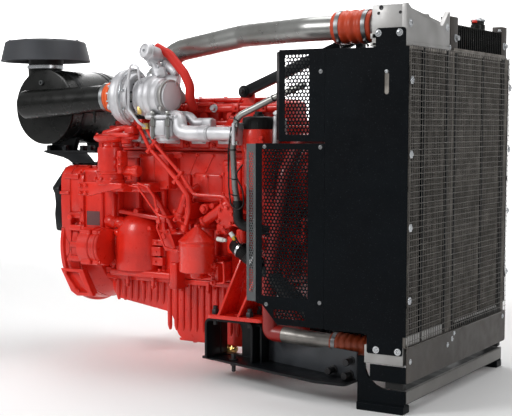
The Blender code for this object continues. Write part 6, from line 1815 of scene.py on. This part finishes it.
def hose_body(name, centre, axis, length, radius, rings, material, slot, node, ends=(0.020, 0.020)):
    """A hose with convolutions between two plain cuffs."""
    hose = Piece(name)
    profile = [(radius - 0.010, 0), (radius - 0.003, 0.0005), (radius - 0.002, 0.002),
               (radius - 0.002, ends[0])]
    pitch = (length - ends[0] - ends[1]) / rings
    for number in range(rings):
        base = ends[0] + number * pitch
        for share, out in ((0.12, -0.0025), (0.26, 0.0008), (0.50, 0.0022), (0.74, 0.0008), (0.88, -0.0025)):
            profile.append((radius + out, base + share * pitch))
    profile += [(radius - 0.002, length - ends[1]), (radius - 0.002, length - 0.002),
                (radius - 0.003, length - 0.0005)]
    profile += [(radius - 0.010, length)]
    hose.turned(centre, axis, profile, 72, closed=True)
    hose.done(material, slot, node)


def hoses():
    """The three silicone hoses and their steel clamps."""
    hose_body("intake_silicone_hose", (-0.3960, -0.330, 1.165), "X", 0.046, 0.0625, 1, ORANGE,
              "orange_rubber",
              "intake_hose", (0.020, 0.010))
    hose_body("charge_silicone_hose", (0.7550, -0.400, 1.408), "X", 0.160, 0.0610, 3, BURNT_ORANGE,
              "orange_rubber",
              "charge_hose", (0.026, 0.026))
    hose_body("return_silicone_hose", (0.7200, -0.350, 0.2065), "X", 0.205, 0.0395, 6, RUST_ORANGE,
              "orange_rubber",
              "return_hose", (0.020, 0.020))
    clamps = Piece("hose_clamps")
    for x, y, z, radius in ((-0.386, -0.330, 1.165, 0.0614),
                            (0.780, -0.400, 1.408, 0.0612), (0.890, -0.400, 1.408, 0.0612),
                            (0.738, -0.350, 0.2065, 0.0400), (0.905, -0.350, 0.205, 0.0372)):
        clamps.clamp((x, y, z), "X", radius, 0.017, 60 if x < 0 else -120)
    clamps.done(DULL_ZINC, "zinc_steel")


def charge_pipe():
    """The big pipe from the compressor to the charge air cooler, beaded at its end."""
    corners = [(-0.225, -0.205, 1.2405), (-0.155, -0.170, 1.360), (0.250, -0.250, 1.408),
               (0.640, -0.400, 1.408),
               (0.800, -0.400, 1.408)]
    pipe = Piece("charge_air_pipe")
    pipe.tube(bent(corners, 0.16, 14), 0.0465, 48)
    pipe.sleeve((0.7740, -0.400, 1.408), "X", 0.006, 0.0485, 0.040, 0.002, 48)
    pipe.done(TUBE, "bare_aluminium", "charge_pipe")
    clamp = Piece("compressor_outlet_clamp")
    start = Vector(corners[0])
    way = (Vector(corners[1]) - start).normalized()
    clamp.clamp(start + way * 0.004, tuple(way), 0.0480, 0.016, 200)
    clamp.done(ZINC, "zinc_steel")


compressor()
turbine()
turbo_wheels()
wastegate()
exhaust_manifold()
air_cleaner()
rain_cap()
air_cleaner_bracket()
air_duct()
hoses()
charge_pipe()


# --- base frame, feet, pipes and the far side ---------------------------------

LEG_TOP = 0.2555


def rails():
    """Each rail: a toed-in bottom flange, its upright web, and the leg with its arched gusset."""
    for side, name in ((-1, "right"), (1, "left")):
        rail = Piece(f"base_rail_{name}")
        outline = [(0.105, 0.346), (0.735, 0.526), *arc((0.841, 0.500), 0.020, 90, 0, 4), (0.865, 0.395)]
        outline += [(0.735, 0.380), (0.105, 0.190)]
        rail.plate("Z", 0.079, 0.089, [(x, side * y) for x, y in outline], (), 0.0015, 2)
        start, end = Vector((0.393, side * 0.2815, 0)), Vector((0.862, side * 0.4200, 0))
        leg = rectangle((0.135, 0.087), (0.367, 0.150))[:2]
        leg += arc((0.341, LEG_TOP - 0.026), 0.026, 0, 90, 6)
        leg += arc((0.161, LEG_TOP - 0.026), 0.026, 90, 180, 6)
        inside = [(0.145, 0.088), (0.357, 0.088)] + arc((0.341, LEG_TOP - 0.026), 0.016, 0, 90, 6)
        inside += arc((0.161, LEG_TOP - 0.026), 0.016, 90, 180, 6)
        y0, y1 = sorted((side * 0.372, side * 0.212))
        rail.plate("Y", y0, y1, leg, [inside], 0.0015, 2)
        window = [(0.147, 0.092), (0.252, 0.092), (0.252, 0.175)] + arc((0.192, 0.188), 0.060, 0, 90, 8)
        window += [(0.147, 0.248)]
        g0, g1 = sorted((side * 0.268, side * 0.258))
        rail.plate("Y", g0, g1, rectangle((0.140, 0.087), (0.362, 0.250)), [window], 0.001)
        rail.done(BLACK, "black_paint", f"rail_{name}")
        web = Piece(f"rail_web_{name}")
        web.bar(start + Vector((0, 0, 0.1400)), end + Vector((0, 0, 0.1400)), 0.009, 0.108, 0.002)
        # The web is lighter than the black flange and leg: painted light on its lit face.
        web.done(WEB_PAINTED_LIGHT, "black_paint")
        stiffener = Piece(f"rail_stiffener_{name}")
        y0, y1 = sorted((side * 0.345, side * 0.235))
        stiffener.block((0.384, y0, 0.087), (0.394, y1, 0.245), 0.002)
        stiffener.block((0.364, y0, 0.235), (0.394, y1, 0.2455), 0.002)
        stiffener.done(BLACK, "black_paint")
        out = "-Y" if side < 0 else "Y"
        studs = Piece(f"rail_bolts_{name}")
        for x, z, y in ((0.836, 0.158, 0.4130), (0.748, 0.111, 0.3890), (0.830, 0.105, 0.4130)):
            studs.drum((x, side * y, z), out, 0.046, 0.0115, 0.002, 24)
            studs.turned((x, side * (y + 0.044), z), out,
                         [(0, 0), (0.0145, 0), (0.0145, 0.010), (0.012, 0.014), (0, 0.014)], 24)
            studs.drum((x, side * (y + 0.006), z), out, 0.006, 0.0170, 0.001, 24)
        for x, y in ((0.172, 0.345), (0.338, 0.345), (0.172, 0.262), (0.338, 0.262)):
            studs.drum((x, side * y, 0.2720), "Z", 0.034, 0.0105, 0.002, 24)
            studs.turned((x, side * y, 0.2720), "Z",
                         [(0, 0), (0.0165, 0), (0.0165, 0.016), (0.014, 0.019), (0, 0.019)], 6)
            studs.drum((x, side * y, 0.2440), "-Z", 0.018, 0.0105, 0.002, 6)
        studs.drum((0.262, side * 0.348, 0.0895), "Z", 0.026, 0.0105, 0.002, 6)
        studs.drum((0.262, side * 0.348, 0.0895), "Z", 0.005, 0.0180, 0.001, 24)
        studs.drum((0.262, side * 0.348, 0.0790), "-Z", 0.040, 0.0085, 0.003, 20)
        studs.drum((0.262, side * 0.348, 0.0790), "-Z", 0.014, 0.0150, 0.002, 6)
        studs.done(DARK_STEEL, "dark_steel")


def front_frame():
    """The welded front frame keeps its shape. It gets paint, and a grey face and lip on the beam that are
    painted light.
    """
    repaint(PANEL, "front_cross_member")
    face = Piece("front_beam_face")
    face.block((1.0975, -0.4975, 0.038), (1.0990, 0.4975, 0.082), 0.0005, 1)
    face.block((1.0900, -0.4975, 0.0835), (1.1010, 0.4975, 0.0860), 0.0008, 1)
    # The grey face and lip are painted light on the black beam.
    face.done(BEAM_PAINTED_LIGHT, "black_paint")


def engine_feet():
    """Each foot: a thick plate with round corners, two leaning ribs, and the flange on the block."""
    for side, name in ((-1, "right"), (1, "left")):
        foot = Piece(f"foot_{name}")
        slot = arc((0.262, side * 0.330), 0.016, 0, 330, 11)
        y0, y1 = sorted((side * 0.380, side * 0.226))
        outline = rounded((0.150, y0), (0.412, y1), 0.020, 5)
        foot.plate("Z", 0.2565, 0.2720, outline, [slot], 0.003, 2)
        b0, b1 = sorted((side * 0.243, side * 0.2125))
        foot.block((0.185, b0, 0.268), (0.400, b1, 0.560), 0.006, 3)
        f0, f1 = sorted((side * 0.250, side * 0.2125))
        foot.block((0.240, f0, 0.500), (0.420, f1, 0.600), 0.012, 3)
        lean = Matrix.Identity(4)
        lean[0][2] = 0.30
        lean[0][3] = -0.30 * 0.268
        for x, top, reach in ((0.198, 0.545, 0.300), (0.292, 0.500, 0.290)):
            rib = [(side * 0.376, 0.268), (side * 0.235, 0.268), (side * 0.235, top), (side * reach, top)]
            foot.plate("X", x, x + 0.011, rib, (), 0.002, 2, lean)
        foot.done(RED, "red_paint", f"engine_foot_{name}")
        bolts = Piece(f"foot_bolts_{name}")
        out = "-Y" if side < 0 else "Y"
        for x, z in ((0.262, 0.580), (0.330, 0.585), (0.400, 0.580), (0.400, 0.520)):
            bolts.bolt((x, side * 0.250, z), out, 0.0095)
        bolts.done(RED, "red_paint")
    fitting = Piece("sump_drain_fitting")
    fitting.block((0.096, -0.190, 0.074), (0.134, -0.150, 0.106), 0.004, 3)
    fitting.drum((0.132, -0.170, 0.092), "X", 0.032, 0.014, 0.003, 28)
    fitting.drum((0.140, -0.170, 0.092), "X", 0.010, 0.018, 0.002, 6)
    fitting.drum((0.115, -0.170, 0.100), "Z", 0.040, 0.013, 0.003, 24)
    fitting.done(BRASS, "bare_aluminium")


def return_line():
    """The air pipe back to the engine: galvanised by the cooler, then painted up to the manifold, in a
    darkened red that is painted shade.
    """
    corners = [Vector(c) for c in ((0.850, -0.350, 0.205), (0.780, -0.350, 0.205), (0.480, -0.350, 0.192),
                                   (0.462, -0.345, 0.420), (0.480, -0.300, 0.860), (0.480, -0.200, 0.980),
                                   (0.480, 0.283, 0.980), (0.4055, 0.283, 0.980))]
    route = bent(corners, 0.075, 10)
    bare = [Vector((0.850, -0.350, 0.2060)), Vector((0.720, -0.350, 0.2075)), Vector((0.482, -0.350, 0.2165))]
    painted = [Vector((0.500, -0.350, 0.2158)), Vector((0.482, -0.350, 0.2165))]
    painted += bent([(0.482, -0.350, 0.2165), (0.438, -0.350, 0.218), (0.430, -0.345, 0.420)], 0.040, 8)
    painted += [p for p in route if p.z > 0.50]
    pipe = Piece("return_air_pipe")
    pipe.tube(bare, 0.0312, 40)
    pipe.done(GALVANISED, "zinc_steel", "return_pipe")
    red = Piece("return_air_pipe_painted")
    red.tube(painted, 0.0318, 40)
    # The painted part of the pipe gets the darkened red: painted shade.
    red.done(RED_PAINTED_SHADE, "red_paint")


def coolant_lines():
    """The grey pipe with its cable and ties, the hose at its foot, and the ribbed hose to the radiator."""
    pipe = Piece("coolant_bypass_pipe")
    pipe.tube(bent([(0.600, -0.360, 1.204), (0.480, -0.372, 1.158), (0.300, -0.386, 1.078),
                    (0.286, -0.388, 0.948),
                    (0.294, -0.386, 0.800), (0.309, -0.385, 0.712)], 0.06, 10), 0.0128, 24)
    pipe.done(TUBE, "zinc_steel", "coolant_pipe")
    hose = Piece("coolant_bypass_hose")
    hose.tube(bent([(0.306, -0.385, 0.745), (0.309, -0.385, 0.648), (0.372, -0.360, 0.636),
                    (0.420, -0.300, 0.620),
                    (0.395, -0.206, 0.620)], 0.040, 10), 0.0200, 28)
    hose.done(RUBBER, "black_rubber")
    ties = Piece("cable_ties")
    for at, way in (((0.466, -0.373, 1.1515), (0.9, 0, 0.4)), ((0.304, -0.386, 1.070), (0.6, 0, 0.8)),
                    ((0.2855, -0.388, 0.948), (0, 0, 1)), ((0.293, -0.386, 0.831), (0.05, 0, 1)),
                    ((0.297, -0.386, 0.767), (0.1, 0, 1))):
        ties.turned(at, way, [(0.0120, -0.0025), (0.0150, -0.0025), (0.0150, 0.0025), (0.0120, 0.0025)], 24,
                    closed=True)
        ties.bar(at, (at[0] - 0.030, at[1] - 0.008, at[2] + 0.006), 0.003, 0.003, 0.001)
    ties.done(RUBBER, "black_rubber")
    ribbed = Piece("radiator_return_hose")
    route = bent([(0.262, -0.330, 0.560), (0.310, -0.355, 0.540), (0.400, -0.345, 0.478),
                  (0.510, -0.335, 0.384),
                  (0.620, -0.325, 0.300), (0.760, -0.290, 0.255), (0.955, -0.060, 0.235)], 0.10, 26)
    radii = [0.0320 + (0.0016 if number % 2 else -0.0010) for number in range(len(route))]
    ribbed.tube(route, radii, 28)
    ribbed.done(RUBBER, "black_rubber")
    stub = Piece("coolant_pump_inlet")
    stub.tube(bent([(0.235, FACE, 0.575), (0.240, -0.290, 0.575), (0.300, -0.350, 0.546)], 0.05, 8), 0.0265,
              28)
    stub.done(RED_CAST, "red_paint")
    clamp = Piece("coolant_hose_clamps")
    clamp.clamp((0.302, -0.352, 0.544), (0.85, -0.15, -0.50), 0.0345, 0.010, 30)
    clamp.clamp((0.360, -0.349, 0.506), (0.80, 0.1, -0.58), 0.0345, 0.010, 30)
    clamp.done(ZINC, "zinc_steel")


def intake_side():
    """The intake manifold, the starter and the alternator on the far side."""
    log = Piece("intake_manifold_casting")
    log.block((-0.440, 0.235, 0.925), (0.370, 0.330, 1.035), 0.026, 5)
    for number in range(6):
        x = -0.400 + number * 0.134
        log.block((x - 0.036, 0.1905, 0.950), (x + 0.036, 0.250, 1.014), 0.010, 3)
        log.block((x - 0.044, 0.1905, 0.942), (x + 0.044, 0.2040, 1.022), 0.004, 2)
        log.block((x - 0.005, 0.240, 0.920), (x + 0.005, 0.334, 1.040), 0.003, 2)
    log.drum((0.360, 0.283, 0.980), "X", 0.045, 0.0340, 0.003, 40)
    log.drum((0.352, 0.283, 0.980), "X", 0.014, 0.0430, 0.004, 40)
    log.done(RED_CAST, "red_paint", "intake_manifold")
    bolts = Piece("intake_bolts")
    for number in range(6):
        x = -0.400 + number * 0.134
        for dx, z in ((-0.038, 1.016), (0.038, 0.948)):
            bolts.bolt((x + dx, 0.204, z), "Y", 0.0072)
    bolts.done(RED, "red_paint")
    starter = Piece("starter_body")
    profile = [(0, -0.180), (0.036, -0.180), (0.044, -0.184), (0.046, -0.192), (0.052, -0.196),
               (0.0550, -0.204)]
    profile += [(0.0550, -0.262), (0.0565, -0.264), (0.0565, -0.268), (0.0550, -0.270), (0.0550, -0.384),
                (0.0575, -0.388)]
    profile += [(0.0575, -0.412), (0.0500, -0.420), (0.0500, -0.4995), (0, -0.4995)]
    axis = Matrix.Translation((0, 0.275, 0.470)) @ Matrix.Rotation(math.pi / 2, 4, "Y")
    starter.turned(None, None, profile, 56, place=axis)
    starter.drum((-0.420, 0.275, 0.545), "X", 0.140, 0.0300, 0.004, 40)
    starter.drum((-0.282, 0.275, 0.545), "X", 0.014, 0.0260, 0.003, 40)
    starter.block((-0.425, 0.250, 0.500), (-0.385, 0.300, 0.550), 0.006, 3)
    for number in range(3):
        angle = math.radians(90 + 120 * number)
        starter.bolt((-0.182, 0.275 + 0.030 * math.cos(angle), 0.470 + 0.030 * math.sin(angle)), "X", 0.006)
    starter.done(BLACK, "black_paint", "starter_motor")
    terminals = Piece("starter_terminals")
    for y, z in ((0.265, 0.558), (0.287, 0.536)):
        terminals.drum((-0.270, y, z), "X", 0.020, 0.0045, 0.001, 16)
        terminals.bolt((-0.268, y, z), "X", 0.0080, 0.006)
    terminals.done(BRASS, "dark_steel")
    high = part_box("alternator")[1]
    frame_y, frame_z = high.y - 0.068, high.z - 0.068
    body = Piece("alternator_body")
    axis = Matrix.Translation((0, frame_y, frame_z)) @ Matrix.Rotation(math.pi / 2, 4, "Y")
    profile = [(0.010, 0.488), (0.050, 0.487), (0.060, 0.482), (0.066, 0.472), (0.068, 0.466),
               (0.068, 0.444), (0.0650, 0.440)]
    profile += [(0.0650, 0.396), (0.0680, 0.392), (0.0680, 0.366), (0.0620, 0.354), (0.0500, 0.345),
                (0.0100, 0.345)]
    body.turned(None, None, profile, 64, closed=True, place=axis)
    for number in range(16):
        turn = axis @ Matrix.Rotation(2 * math.pi * number / 16, 4, "Z")
        body.block((0.046, -0.0020, 0.468), (0.0675, 0.0020, 0.4885), 0.0010, 1, turn)
    body.block((0.372, 0.212, 0.600), (0.440, frame_y, 0.670), 0.006, 3)
    body.done(CAST, "bare_aluminium", "alternator")
    rotor = Piece("alternator_pulley")
    r_low, r_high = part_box("alternator_rotor")
    size = (r_high.z - r_low.z) / 2
    rotor.turned(None, None, [(0, 0.534), (0.012, 0.534), (0.014, 0.530), (size - 0.003, 0.528),
                              (size, 0.526),
                              (size, 0.500), (size - 0.003, 0.498), (0.010, 0.496), (0.008, 0.352),
                              (0, 0.352)], 56, place=axis)
    rotor.done(MACHINED, "bare_aluminium", "alternator_rotor", body="alternator_rotor")
    windings = Piece("alternator_windings")
    windings.sleeve((0.398, frame_y, frame_z), "X", 0.040, 0.0655, 0.055, 0.002, 56)
    windings.done(DARK_STEEL, "bare_aluminium")


rails()
front_frame()
engine_feet()
return_line()
coolant_lines()
intake_side()
